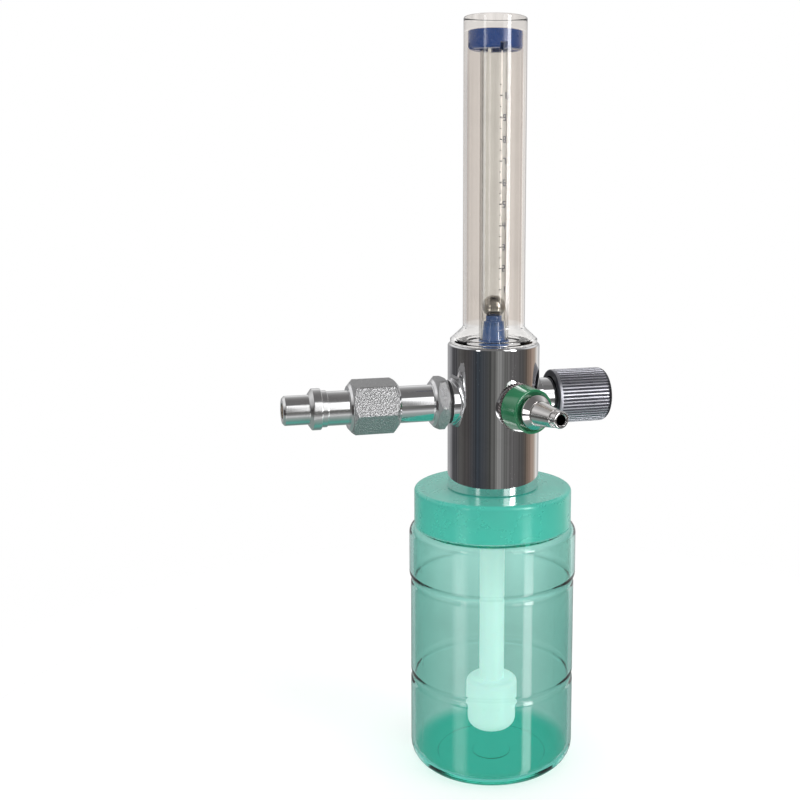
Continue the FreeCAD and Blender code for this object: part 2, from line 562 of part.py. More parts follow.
def build_float():
    """The float tube with its seat, ball and top plug."""
    tube = new_piece("flow_tube")
    top_bore = f"{FLOAT_BORE} + tube_taper"
    seat_roof = f"{TUBE_FOOT} + tube_seat_depth"
    turn(tube, "wall", [
        ("tube_seat_bore", TUBE_FOOT), ("tube_radius", TUBE_FOOT), ("tube_radius", TUBE_TOP),
        (top_bore, TUBE_TOP), (FLOAT_BORE, f"{seat_roof} + tube_seat_bore - ({FLOAT_BORE})"),
        ("tube_seat_bore", seat_roof)])
    seat = new_piece("ball_seat")
    turn(seat, "bell", [
        ("seat_bore_radius", f"{BODY_TOP} - seat_stem_length"),
        ("seat_stem_radius", f"{BODY_TOP} - seat_stem_length"), ("seat_stem_radius", BODY_TOP),
        ("seat_flange_radius", BODY_TOP), ("seat_flange_radius", TUBE_FOOT),
        ("seat_base_radius", TUBE_FOOT),
        ("seat_shoulder_radius", f"{TUBE_FOOT} + seat_shoulder_height"),
        ("seat_neck_radius", f"{TUBE_FOOT} + seat_shoulder_height"), ("seat_neck_radius", SEAT_TOP),
        ("seat_dish_radius", SEAT_TOP), ("seat_bore_radius", f"{SEAT_TOP} - seat_dish_depth")])
    rounding = "(seat_shoulder_radius - seat_neck_radius) * 0.8"
    ease(seat, "shoulder_edge",
         [("seat_shoulder_radius", f"{TUBE_FOOT} + seat_shoulder_height")], rounding)
    ball = doc.addObject("Part::Sphere", "float_ball")
    ball.Label = "float_ball"
    ball.setExpression("Radius", bound("ball_radius"))
    ball.setExpression("Placement.Base.z", bound(BALL_MIDDLE))
    pieces.append(ball)
    plug = new_piece("top_plug")
    rim = f"{SHIELD_BORE} - plug_gap"
    socket = "tube_radius + thread_gap"
    turn(plug, "disc", [
        (socket, PLUG_FOOT), (rim, PLUG_FOOT), (rim, PLUG_TOP), ("0", PLUG_TOP),
        ("0", f"{TUBE_TOP} + plug_recess_depth"),
        ("plug_recess_radius", f"{TUBE_TOP} + plug_recess_depth"),
        ("plug_recess_radius", TUBE_TOP), (socket, TUBE_TOP)])
    ease(plug, "lower_edge", [(rim, PLUG_FOOT)], "plug_rounding")
    half = "plug_slot_width / 2"
    cuts = [("slot", f"{rim} + plug_gap", "plug_slot_depth"),
            ("channel", "tube_radius + plug_channel_depth", "plug_socket_depth + plug_recess_depth")]
    for name, reach, height in cuts:
        sketch = new_sketch(plug, f"{name}_outline", "XY_Plane", lift(PLUG_FOOT))
        outline(sketch, [("0", f"-{half}"), (reach, f"-{half}"), (reach, half), ("0", half)])
        cut = pocket(plug, name, sketch, height, along_normal=True)
        repeat(plug, f"{name}s", cut, "4")


def build_inlet():
    """The inlet: washer, nipple, union nut with its washer, and the probe with its filter."""
    seal = new_piece("inlet_gasket", "inlet_bearing")
    clear = "inlet_thread_radius + thread_gap"
    turn(seal, "washer", [(clear, PORT_FACE), ("inlet_seal_radius", PORT_FACE),
                          ("inlet_seal_radius", NIPPLE_START), (clear, NIPPLE_START)])

    nipple = new_piece("inlet_nipple", "inlet_bearing")
    tail = f"{NIPPLE_START} - inlet_thread_length"
    turn(nipple, "pipe", [
        ("inlet_bore_radius", tail), ("inlet_thread_radius", tail),
        ("inlet_thread_radius", NIPPLE_START), ("pipe_radius", NIPPLE_START),
        ("pipe_radius", PIPE_END), ("inlet_bore_radius", PIPE_END)])
    sketch = new_sketch(nipple, "hexagon_outline", "XY_Plane", lift(NIPPLE_START))
    hexagon(sketch, "nipple_flats", "nipple_turn")
    ring(sketch, "(pipe_radius + inlet_bore_radius) / 2")
    pad(nipple, "hexagon", sketch, "nipple_hex_length")
    crown(nipple, "inner_crown", "nipple_flats", NIPPLE_START, "+")
    crown(nipple, "outer_crown", "nipple_flats", PIPE_START, "-")

    nut = new_piece("union_nut", "inlet_bearing")
    nut_end = f"{NUT_START} + nut_length"
    sketch = new_sketch(nut, "hexagon_outline", "XY_Plane", lift(NUT_START))
    hexagon(sketch, "nut_flats", "nut_turn")
    pad(nut, "hexagon", sketch, "nut_length")
    pipe_bore = "pipe_radius + nut_pipe_gap"
    shaft_bore = "probe_shaft_radius + nut_pipe_gap"
    groove(nut, "bore", [("0", NUT_START), (pipe_bore, NUT_START), (pipe_bore, COLLAR_END),
                         (shaft_bore, COLLAR_END), (shaft_bore, nut_end), ("0", nut_end)])
    crown(nut, "inner_crown", "nut_flats", NUT_START, "+")
    crown(nut, "outer_crown", "nut_flats", nut_end, "-")

    washer = new_piece("union_washer", "inlet_bearing")
    turn(washer, "washer", [
        ("inlet_bore_radius", PIPE_END), ("probe_collar_radius", PIPE_END),
        ("probe_collar_radius", PROBE_START), ("inlet_bore_radius", PROBE_START)])

    probe = new_piece("probe", "inlet_bearing")
    filter_seat = f"{PROBE_END} - filter_recess - filter_length"
    bevel_radius = "probe_tip_radius + (probe_flange_radius - probe_tip_radius) * 0.25"
    turn(probe, "shaft", [
        ("inlet_bore_radius", PROBE_START), ("probe_collar_radius", PROBE_START),
        ("probe_collar_radius", COLLAR_END), ("probe_shaft_radius", COLLAR_END),
        ("probe_shaft_radius", f"{FLANGE_START} - probe_ring_length"),
        ("probe_ring_radius", f"{FLANGE_START} - probe_ring_length"),
        ("probe_ring_radius", FLANGE_START), ("probe_flange_radius", FLANGE_START),
        ("probe_flange_radius", BEVEL_START), (bevel_radius, TIP_START),
        ("probe_tip_radius", TIP_START), ("probe_tip_radius", PROBE_END),
        ("filter_radius", PROBE_END), ("filter_radius", filter_seat),
        ("inlet_bore_radius", filter_seat)])
    ease(probe, "tip_edge", [("probe_tip_radius", PROBE_END)], "probe_tip_chamfer", "Chamfer")

    mesh = new_piece("inlet_filter", "inlet_bearing")
    turn(mesh, "disc", [("0", filter_seat), ("filter_radius", filter_seat),
                        ("filter_radius", f"{filter_seat} + filter_length"),
                        ("0", f"{filter_seat} + filter_length")])


def build_outlet():
    """The outlet: washer, green collar and the barbed nozzle that clamps them."""
    washer = new_piece("outlet_washer", "outlet_bearing")
    clear = "nozzle_thread_radius + thread_gap"
    turn(washer, "washer", [(clear, PORT_FACE), ("outlet_washer_radius", PORT_FACE),
                            ("outlet_washer_radius", GREEN_START), (clear, GREEN_START)])
    collar = new_piece("outlet_collar", "outlet_bearing")
    turn(collar, "ring", [
        (clear, GREEN_START), ("collar_radius", GREEN_START), ("collar_front_radius", GREEN_END),
        ("collar_recess_radius", GREEN_END), ("collar_recess_radius", NOZZLE_SEAT),
        (clear, NOZZLE_SEAT)])
    ease(collar, "front_edge", [("collar_front_radius", GREEN_END)], "collar_rounding")
    nozzle = new_piece("outlet_nozzle", "outlet_bearing")
    tail = f"{PORT_FACE} - nozzle_thread_length"
    turn(nozzle, "barb", [
        ("outlet_bore_radius", tail), ("nozzle_thread_radius", tail),
        ("nozzle_thread_radius", NOZZLE_SEAT), ("nozzle_flange_radius", NOZZLE_SEAT),
        ("nozzle_flange_radius", DOME_START), ("barb_root_radius", DOME_END),
        ("barb_neck_radius", DOME_END), ("barb_neck_radius", BARB_START),
        ("barb_root_radius", BARB_START), ("barb_end_radius", BARB_END),
        ("barb_tip_radius - 0.3", BARB_END), ("barb_tip_radius", f"{BARB_END} + 0.6"),
        ("barb_tip_radius", NOZZLE_END), ("outlet_bore_radius", NOZZLE_END)])
    ease(nozzle, "mouth_edge", [("barb_tip_radius", NOZZLE_END)], "0.6")


def build_valve():
    """The needle valve: bonnet, spindle with its ring, fluted knob and the knob's screw."""
    bonnet = new_piece("valve_bonnet", "valve_bearing")
    seal_end = f"{BONNET_TAIL} + seal_bore_length"
    turn(bonnet, "sleeve", [
        (SEAL_BORE, BONNET_TAIL), ("bonnet_thread_radius", BONNET_TAIL),
        ("bonnet_thread_radius", PORT_FACE), ("bonnet_radius", PORT_FACE),
        ("bonnet_radius", BONNET_END), ("bonnet_neck_radius", BONNET_END),
        ("bonnet_neck_radius", BONNET_NECK_END), (SPINDLE_BORE, BONNET_NECK_END),
        (SPINDLE_BORE, seal_end), (SEAL_BORE, seal_end)])
    ease(bonnet, "shoulder_edge", [("bonnet_radius", BONNET_END)], "0.6", "Chamfer")

    spindle = new_piece("valve_spindle", "valve_bearing")
    seal_low = f"{SEAL_PLACE} - spindle_seal_section - thread_gap"
    seal_high = f"{SEAL_PLACE} + spindle_seal_section + thread_gap"
    seal_floor = "spindle_radius - spindle_seal_section - thread_gap"
    turn(spindle, "needle", [
        ("0", NEEDLE_TIP), ("needle_tip_radius", NEEDLE_TIP),
        ("valve_passage_radius - spindle_gap", NEEDLE_END), ("spindle_radius", NEEDLE_END),
        ("spindle_radius", seal_low), (seal_floor, seal_low), (seal_floor, seal_high),
        ("spindle_radius", seal_high), ("spindle_radius", SPINDLE_END), ("0", SPINDLE_END)])
    hole = new_sketch(spindle, "screw_hole_circle", "XY_Plane", lift(SPINDLE_END))
    ring(hole, "screw_shank_radius + thread_gap")
    pocket(spindle, "screw_hole", hole, "screw_shank_length")

    seal = doc.addObject("Part::Torus", "spindle_o_ring")
    seal.Label = "spindle_o_ring"
    seal.setExpression("Radius1", bound("spindle_radius"))
    seal.setExpression("Radius2", bound("spindle_seal_section"))
    words = (f"placement(vector(({SEAL_PLACE}) * sin(valve_bearing);"
             f" -({SEAL_PLACE}) * cos(valve_bearing); {PORT_HEIGHT});"
             " rotation(valve_bearing; 0; 90))")
    seal.setExpression("Placement", bound(words))
    pieces.append(seal)

    knob = new_piece("knob", "valve_bearing")
    cavity = "knob_radius - knob_wall"
    cavity_end = "knob_start + knob_cavity_depth"
    hub_bore = SPINDLE_BORE
    turn(knob, "grip", [
        (cavity, "knob_start"), ("knob_radius", "knob_start"), ("knob_radius", KNOB_END),
        ("knob_screw_radius + thread_gap", KNOB_END), ("knob_screw_radius + thread_gap", SCREW_SEAT),
        ("screw_shank_radius + thread_gap", SCREW_SEAT),
        ("screw_shank_radius + thread_gap", SPINDLE_END), (hub_bore, SPINDLE_END),
        (hub_bore, cavity_end), (cavity, cavity_end)])
    ease(knob, "back_edge", [("knob_radius", "knob_start")], "knob_back_chamfer", "Chamfer")
    ease(knob, "front_edge", [("knob_radius", KNOB_END)], "knob_front_rounding")
    flute = new_sketch(knob, "flute_circle", "XY_Plane", lift(KNOB_FLUTES))
    ring(flute, "knob_flute_radius", up="knob_radius")
    cut = pocket(knob, "flute", flute, "knob_flute_length", along_normal=True)
    repeat(knob, "flutes", cut, "knob_flute_count")

    screw = new_piece("knob_screw", "valve_bearing")
    head_end = f"{SCREW_SEAT} + knob_screw_head"
    turn(screw, "head", [
        ("0", f"{SPINDLE_END} - screw_shank_length"),
        ("screw_shank_radius", f"{SPINDLE_END} - screw_shank_length"),
        ("screw_shank_radius", SCREW_SEAT), ("knob_screw_radius", SCREW_SEAT),
        ("knob_screw_radius", head_end), ("0", head_end)])
    socket = new_sketch(screw, "socket_outline", "XY_Plane", lift(head_end))
    hexagon(socket, "screw_socket_flats", "screw_socket_turn")
    pocket(screw, "socket", socket, "screw_socket_depth")


def build_lid():
    """The green lid, the ring nut that clamps it to the spigot, and its seal."""
    lid = new_piece("bottle_lid")
    hole = "spigot_radius + thread_gap"
    turn(lid, "shell", [
        (hole, LID_UNDERSIDE), (LID_BORE, LID_UNDERSIDE), (LID_BORE, LID_RIM), (LID_RADIUS, LID_RIM),
        (LID_RADIUS, LID_TOP), (hole, LID_TOP)])
    ease(lid, "top_edge", [(LID_RADIUS, LID_TOP)], "lid_rounding")
    seal_foot = f"{LID_UNDERSIDE} - lid_seal_thickness"
    seal = new_piece("lid_gasket")
    turn(seal, "washer", [
        (hole, seal_foot), (f"{LID_NUT_RADIUS} - 1", seal_foot), (f"{LID_NUT_RADIUS} - 1", LID_UNDERSIDE),
        (hole, LID_UNDERSIDE)])
    nut = new_piece("lid_nut")
    foot = f"{seal_foot} - lid_nut_height"
    turn(nut, "ring", [(hole, foot), (LID_NUT_RADIUS, foot), (LID_NUT_RADIUS, seal_foot),
                       (hole, seal_foot)])
    ease(nut, "edges", [(LID_NUT_RADIUS, foot), (LID_NUT_RADIUS, seal_foot)], "0.6", "Chamfer")
    slot = new_sketch(nut, "slot_outline", "XY_Plane", lift(foot))
    half = "spanner_slot_width / 2"
    inside = f"{LID_NUT_RADIUS} - spanner_slot_depth"
    outside = f"{LID_NUT_RADIUS} + spanner_slot_depth"
    outline(slot, [(inside, f"-{half}"), (outside, f"-{half}"), (outside, half), (inside, half)])
    cut = pocket(nut, "slot", slot, "spanner_slot_depth", along_normal=True)
    repeat(nut, "slots", cut, "6")


def ring_groove(height, radius, step, sign):
    """Lists the corners of one ring groove in the bottle wall, going up."""
    half = "groove_half_width"
    below = f"{height} - {half}"
    above = f"{height} + {half}"
    corners = [(radius, below), (f"{radius} - groove_depth", height), (f"{radius} + {step}", above)]
    return corners if sign > 0 else corners[::-1]


def build_jar():
    """The bottle: a blown shell with two ring grooves, a stepped band, a shoulder and a neck."""
    jar = new_piece("jar")
    band = "jar_radius + jar_band_step"
    inner = "jar_radius - jar_wall"
    recess = "jar_radius - jar_corner_radius - jar_foot_land"
    outside = [("0", "0"), ("jar_recess_inner", "0"), ("jar_recess_inner", "jar_recess_depth"),
               (recess, "jar_recess_depth"), (recess, "0"),
               ("jar_radius", "0")]
    outside += ring_groove("low_groove_height", "jar_radius", "0", 1)
    outside += ring_groove("high_groove_height", "jar_radius", "jar_band_step", 1)
    outside += [(band, "shoulder_height"), (NECK_RADIUS, "shoulder_height"),
                (NECK_RADIUS, NECK_RIM)]
    ceiling = "shoulder_height - jar_wall"
    inside = [(NECK_BORE, NECK_RIM), (NECK_BORE, ceiling), (f"{inner} + jar_band_step", ceiling)]
    inside += ring_groove("high_groove_height", inner, "jar_band_step", -1)
    inside += ring_groove("low_groove_height", inner, "0", -1)
    inside += [(inner, "jar_floor"), ("0", "jar_floor")]
    turn(jar, "shell", outside + inside)
    edges = []
    for side in ("jar_radius", inner):
        edges += ring_groove("low_groove_height", side, "0", 1)
        edges += ring_groove("high_groove_height", side, "jar_band_step", 1)
    ease(jar, "groove_edges", edges, "groove_rounding")
    ease(jar, "base_edge", [("jar_radius", "0")], "jar_corner_radius")
    ease(jar, "floor_edge", [(inner, "jar_floor")], "jar_corner_radius - jar_wall")
    ease(jar, "shoulder_edge", [(band, "shoulder_height")], "shoulder_rounding")
    ease(jar, "ceiling_edge", [(f"{inner} + jar_band_step", ceiling)],
         "shoulder_rounding - jar_wall")
    seal = new_piece("jar_gasket")
    turn(seal, "washer", [
        (NECK_BORE, NECK_RIM), (NECK_RADIUS, NECK_RIM), (NECK_RADIUS, LID_UNDERSIDE),
        (NECK_BORE, LID_UNDERSIDE)])


def build_bubbler():
    """The dip tube and the two-part bubbler on its end."""
    tube = new_piece("dip_tube")
    foot = "bubbler_cap_top - bubbler_socket_depth"
    bore = "dip_tube_radius - dip_tube_wall"
    turn(tube, "wall", [(bore, foot), ("dip_tube_radius", foot), ("dip_tube_radius", DIP_TOP),
                        (bore, DIP_TOP)])
    cap = new_piece("bubbler_cap")
    socket = "dip_tube_radius + thread_gap"
    inner = "bubbler_cup_radius + thread_gap"
    cap_roof = f"{foot} - bubbler_wall"
    turn(cap, "shell", [
        (bore, cap_roof), (inner, cap_roof), (inner, CAP_FOOT), ("bubbler_cap_radius", CAP_FOOT),
        ("bubbler_cap_radius", "bubbler_cap_top"), (socket, "bubbler_cap_top"), (socket, foot),
        (bore, foot)])
    ease(cap, "shoulder_edge", [("bubbler_cap_radius", "bubbler_cap_top")], "bubbler_cap_rounding")
    cup = new_piece("bubbler_cup")
    cup_inner = "bubbler_cup_radius - bubbler_wall"
    cup_floor = "bubbler_cup_bottom + bubbler_wall"
    turn(cup, "shell", [
        ("0", "bubbler_cup_bottom"), ("bubbler_cup_radius", "bubbler_cup_bottom"),
        ("bubbler_cup_radius", CUP_TOP), (cup_inner, CUP_TOP), (cup_inner, cup_floor),
        ("0", cup_floor)])
    ease(cup, "bottom_edge", [("bubbler_cup_radius", "bubbler_cup_bottom")],
         "bubbler_cup_rounding")
    ease(cup, "floor_edge", [(cup_inner, cup_floor)], "bubbler_cup_rounding - bubbler_wall")
    hole = new_sketch(cup, "hole_circle", "XY_Plane", lift(cup_floor))
    ring(hole, "bubbler_hole_radius", across="bubbler_hole_ring")
    cut = pocket(cup, "hole", hole, "2 * bubbler_wall")
    repeat(cup, "holes", cut, "bubbler_hole_count")


def check_and_write():
    """Stops on any failed object, then writes each sub-part to its own file."""
    doc.recompute()
    for item in doc.Objects:
        if "Invalid" in item.State or "Error" in item.State:
            raise RuntimeError(f"{item.Label} failed: {item.State}")
    os.makedirs(PARTS_FOLDER, exist_ok=True)
    for piece in pieces:
        shape = piece.Shape
        if shape.isNull() or not shape.isValid() or not shape.Solids:
            raise RuntimeError(f"{piece.Label} has no valid solid")
    for piece in pieces:
        shape = piece.Shape
        shape.exportStep(os.path.join(PARTS_FOLDER, f"{piece.Label}.step"))
        box = shape.BoundBox
        print(f"{piece.Label}: {len(shape.Solids)} solid, {shape.Volume:.1f} mm3,"
              f" {box.XLength:.2f} x {box.YLength:.2f} x {box.ZLength:.2f} mm")


build_body()
build_shield()
build_float()
build_inlet()
build_outlet()
build_valve()
build_lid()
build_jar()
build_bubbler()
check_and_write()
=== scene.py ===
"""Looks of a wall-outlet oxygen flowmeter with a ball float tube and a humidifier bottle."""
import logging
import math
from dataclasses import dataclass
from enum import Enum
from functools import cache

import bmesh
import bpy
import numpy as np
from mathutils import Matrix, Vector


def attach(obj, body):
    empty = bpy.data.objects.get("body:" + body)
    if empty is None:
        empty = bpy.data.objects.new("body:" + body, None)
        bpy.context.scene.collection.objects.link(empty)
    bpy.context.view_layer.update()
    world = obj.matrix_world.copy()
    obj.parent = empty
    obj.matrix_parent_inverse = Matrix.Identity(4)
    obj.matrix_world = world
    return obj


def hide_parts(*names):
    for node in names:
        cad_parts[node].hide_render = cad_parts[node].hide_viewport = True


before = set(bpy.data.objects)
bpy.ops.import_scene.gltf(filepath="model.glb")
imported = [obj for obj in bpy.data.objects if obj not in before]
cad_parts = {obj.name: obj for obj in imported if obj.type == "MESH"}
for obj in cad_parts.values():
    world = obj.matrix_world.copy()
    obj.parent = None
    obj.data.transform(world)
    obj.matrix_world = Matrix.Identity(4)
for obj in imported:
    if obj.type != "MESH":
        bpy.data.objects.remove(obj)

Piece = bpy.types.Object
Socket = bpy.types.NodeSocket
Corner = tuple[float, float, float]
Colour = tuple[float, float, float]
Row = tuple[float | np.ndarray, float | np.ndarray]
Stops = list[tuple[float, float | Colour]]

LOG = logging.getLogger("flowmeter")
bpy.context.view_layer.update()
MM = 0.001
ROUND = 256
BODY_FOOT = 118.0
BODY_TOP = 178.6
PORT_HEIGHT = 154.7
PORT_FACE = 19.4
KNOB_RADIUS = 11.35
FLUTE_RADIUS = 0.42


class Port(Enum):
    """Directions of the three ports, in degrees from -Y towards +X."""

    INLET = -90.0
    VALVE = 90.0
    OUTLET = 13.4


def port_axes(port: Port) -> np.ndarray:
    """Gives the local axes of a port as columns: sideways, up and outwards.

    Args:
        port: Which port.

    Returns:
        A 3 by 3 array that turns local points into the row's frame.
    """
    turn = math.radians(port.value)
    return np.array([[math.cos(turn), 0.0, math.sin(turn)],
                     [math.sin(turn), 0.0, -math.cos(turn)],
                     [0.0, 1.0, 0.0]])


def rounded(corners: list[Corner], closed: bool = True, steps: int = 8) -> np.ndarray:
    """Rounds the corners of an outline of (radius, height, rounding) in millimetres.

    A corner with a rounding becomes an arc that touches both of its edges; the arc's points are the
    centre plus the rounding times the turned unit vector, at even angles.

    Args:
        corners: The outline's corners in order.
        closed: Whether the last corner joins the first one.
        steps: Points on each arc.

    Returns:
        The outline's points as an array of two columns.
    """
    points = np.array([c[:2] for c in corners], float)
    made = []
    count = len(points)
    for index, (across, up, radius) in enumerate(corners):
        here = points[index]
        at_end = not closed and index in (0, count - 1)
        if radius <= 0 or at_end:
            made.append(here[None])
            continue
        back = points[index - 1] - here
        ahead = points[(index + 1) % count] - here
        back, ahead = back / np.linalg.norm(back), ahead / np.linalg.norm(ahead)
        half = math.acos(float(np.clip(back @ ahead, -1, 1))) / 2
        middle = here + (back + ahead) / np.linalg.norm(back + ahead) * radius / math.sin(half)
        start, end = here + back * radius / math.tan(half), here + ahead * radius / math.tan(half)
        first = math.atan2(*(start - middle)[::-1])
        sweep = (math.atan2(*(end - middle)[::-1]) - first + math.pi) % (2 * math.pi) - math.pi
        angles = first + np.linspace(0, 1, steps + 1) * sweep
        made.append(middle + radius * np.stack([np.cos(angles), np.sin(angles)], axis=1))
    return np.concatenate(made)


def refine(outline: np.ndarray, spacing: float, hold: float = 0.12) -> np.ndarray:
    """Adds points along the long runs of an outline.

    Even points keep patterns along a run smooth, and one point close to each of its ends keeps the
    shading of a straight run straight where a rounding follows.

    Args:
        outline: Points of (radius, height).
        spacing: Longest run left, in millimetres.
        hold: How far from each end the close points lie, in millimetres.

    Returns:
        The outline with the new points between its own.
    """
    made = []
    for start, end in zip(outline, np.roll(outline, -1, axis=0)):
        length = float(np.linalg.norm(end - start))
        places = np.linspace(0, 1, max(1, math.ceil(length / spacing)), endpoint=False)
        if length > 5 * hold:
            ends = [hold / length, 1 - hold / length]
            places = np.union1d(places[(places == 0) | (places > 2 * ends[0])], ends)
        made.append(start + (end - start) * places[:, None])
    return np.concatenate(made)


def surface(name: str, radii: np.ndarray, heights: np.ndarray, angles: np.ndarray,
            port: Port | None = None, closed: bool = True, sharp: float = 32.0) -> Piece:
    """Makes a mesh of points (radius cos angle, radius sin angle, height) on a closed grid.

    Args:
        name: Name of the piece.
        radii: Distance from the axis in millimetres, by row, or by row and angle.
        heights: Height along the axis, in the same way.
        angles: Angle of each column, in radians.
        port: The port whose axis it stands on, or none for the body's own axis.
        closed: Whether the last row joins the first.
        sharp: Angle between faces, in degrees, from which an edge is shaded as an edge.

    Returns:
        The new object, linked and at the origin.
    """
    radii, heights, around = np.broadcast_arrays(radii, heights, angles)
    points = np.stack([radii * np.cos(around), radii * np.sin(around), heights], axis=-1)
    if port is not None:
        points = points @ port_axes(port).T + np.array([0.0, 0.0, PORT_HEIGHT])
    points = points * MM
    rows, columns = radii.shape
    count = rows if closed else rows - 1
    low = (np.arange(count) % rows)[:, None] * columns
    high = ((np.arange(count) + 1) % rows)[:, None] * columns
    here, after = np.arange(columns)[None], ((np.arange(columns) + 1) % columns)[None]
    faces = np.stack([low + here, low + after, high + after, high + here], axis=-1).reshape(-1, 4)
    mesh = bpy.data.meshes.new(name)
    mesh.from_pydata(points.reshape(-1, 3).tolist(), [], faces.tolist())
    return finished(name, mesh, sharp)


def stacked(name: str, rows: list[Row], angles: np.ndarray, port: Port | None = None,
            sharp: float = 32.0) -> Piece:
    """Makes a mesh of rows of (radius, height), each a number or one value for each angle.

    Args:
        name: Name of the piece.
        rows: The rows in order; the last one joins the first.
        angles: Angle of each column, in radians.
        port: The port whose axis it stands on, or none for the body's own axis.
        sharp: Angle between faces, in degrees, from which an edge is shaded as an edge.

    Returns:
        The new object.
    """
    radii, heights = (np.stack([np.broadcast_to(value, angles.shape) for value in values])
                      for values in zip(*rows))
    return surface(name, radii, heights, angles, port, sharp=sharp)


def finished(name: str, mesh: bpy.types.Mesh, sharp: float) -> Piece:
    """Closes the seams of a mesh, turns its faces outwards and links it as an object.

    Args:
        name: Name of the piece.
        mesh: The mesh, with doubled points where it closes.
        sharp: Angle in degrees from which an edge is shaded as an edge.

    Returns:
        The new object.
    """
    work = bmesh.new()
    work.from_mesh(mesh)
    bmesh.ops.remove_doubles(work, verts=work.verts, dist=2e-7)
    bmesh.ops.dissolve_degenerate(work, edges=work.edges, dist=1e-7)
    bmesh.ops.recalc_face_normals(work, faces=work.faces)
    if work.calc_volume(signed=True) < 0:
        bmesh.ops.reverse_faces(work, faces=work.faces)
    work.to_mesh(mesh)
    work.free()
    mesh.shade_smooth()
    mesh.set_sharp_from_angle(angle=math.radians(sharp))
    piece = bpy.data.objects.new(name, mesh)
    bpy.context.scene.collection.objects.link(piece)
    return piece


def even_angles(count: int = ROUND) -> np.ndarray:
    """Gives evenly spaced angles for one full turn."""
    return np.arange(count) * 2 * math.pi / count


def lathe(name: str, corners: list[Corner], port: Port | None = None, spacing: float = 50.0,
          count: int = ROUND, sharp: float = 32.0) -> Piece:
    """Turns a rounded outline about an upright axis, or about a port's axis.

    Args:
        name: Name of the piece.
        corners: Corners of (radius, height, rounding) in millimetres.
        port: The port whose axis it is turned about, or none for the body's own axis.
        spacing: Longest run of the outline, in millimetres.
        count: Number of columns in a full turn.
        sharp: Angle in degrees from which an edge is shaded as an edge.

    Returns:
        The new object.
    """
    outline = refine(rounded(corners), spacing)
    return surface(name, outline[:, :1], outline[:, 1:], even_angles(count), port, sharp=sharp)


def hexagon_radius(angles: np.ndarray, flats: float, turned: float,
                   soften: float = 0.12) -> np.ndarray:
    """Distance from the axis to a hexagon with its corners a little rounded.

    The distance is half the flats over the cosine of the angle from the nearest flat's middle,
    blended at the corners with a circle just inside them.

    Args:
        angles: Angles in radians, from the sideways axis.
        flats: Distance across the flats, in millimetres.
        turned: Angle in degrees that it is turned by from a corner straight up.
        soften: How far the corners are rounded off, in millimetres.

    Returns:
        The distance for each angle.
    """
    sixth = math.pi / 3
    from_flat = (angles - math.radians(turned) + sixth / 2) % sixth - sixth / 2
    plain = flats / 2 / np.cos(from_flat)
    corner = flats / math.sqrt(3) - soften
    gap = plain - corner
    return corner + gap / 2 - np.sqrt(gap ** 2 + soften ** 2) / 2


class Net:
    """A node tree with short calls to add and join its nodes."""

    def __init__(self, tree: bpy.types.NodeTree) -> None:
        """Keeps the tree."""
        self.tree = tree

    def join(self, source: Socket, target: Socket) -> None:
        """Links two sockets."""
        self.tree.links.new(source, target)

    def feed(self, value: object, target: Socket) -> None:
        """Links a socket or writes a plain value."""
        if isinstance(value, Socket):
            self.join(value, target)
        else:
            target.default_value = value

    def add(self, kind: str, **inputs: object) -> bpy.types.Node:
        """Adds a node and feeds its inputs.

        Args:
            kind: The node's type, without the words ShaderNode.
            inputs: Values or sockets by input name, with underscores for spaces.

        Returns:
            The node.
        """
        node = self.tree.nodes.new("ShaderNode" + kind)
        for word, value in inputs.items():
            self.feed(value, node.inputs[word.replace("_", " ")])
        return node

    def vector(self, operation: str, *values: object, kind: str = "VectorMath") -> bpy.types.Node:
        """Adds a Vector Math node of sockets or vectors."""
        node = self.add(kind)
        node.operation = operation
        for value, target in zip(values, node.inputs):
            self.feed(value, target)
        return node

    def math(self, operation: str, *values: object) -> Socket:
        """Adds a Math node of sockets or numbers."""
        return self.vector(operation, *values, kind="Math").outputs[0]

    def ramp(self, factor: Socket, stops: Stops) -> Socket:
        """Adds a colour ramp.

        Args:
            factor: What the ramp reads.
            stops: Places from 0 to 1 with their colours, or one number for a grey.

        Returns:
            The colour.
        """
        node = self.add("ValToRGB", Fac=factor)
        elements = node.color_ramp.elements
        elements.remove(elements[-1])
        elements[0].position = stops[0][0]
        for place, _ in stops[1:]:
            elements.new(place)
        for element, (_, colour) in zip(elements, stops):
            element.color = (*(colour if isinstance(colour, tuple) else (colour,) * 3), 1.0)
        return node.outputs["Color"]

    def spread(self, value: Socket, low: float, high: float) -> Socket:
        """Maps a value between two others to 0 to 1, and holds it there."""
        return self.add("MapRange", Value=value, From_Min=low, From_Max=high).outputs["Result"]

    def blend(self, factor: object, low: object, high: object) -> Socket:
        """Blends two colours by a factor."""
        node = self.add("Mix")
        node.data_type = "RGBA"
        self.feed(factor, node.inputs["Factor"])
        self.feed(low, node.inputs["A"])
        self.feed(high, node.inputs["B"])
        return node.outputs["Result"]

    def scaled(self, colour: Socket, by: object) -> Socket:
        """Scales a colour by a number or socket."""
        node = self.vector("SCALE", colour)
        self.feed(by, node.inputs["Scale"])
        return node.outputs[0]

    def added(self, first: Socket, second: Socket) -> Socket:
        """Adds two colours."""
        return self.vector("ADD", first, second).outputs[0]

    def background(self, colour: object, strength: float) -> Socket:
        """Adds a Background shader of a socket or a colour with its alpha."""
        return self.add("Background", Color=colour, Strength=strength).outputs[0]

    def mixed(self, factor: Socket, low: Socket, high: Socket) -> Socket:
        """Mixes two shaders by a factor."""
        node = self.add("MixShader", Fac=factor)
        self.join(low, node.inputs[1])
        self.join(high, node.inputs[2])
        return node.outputs[0]


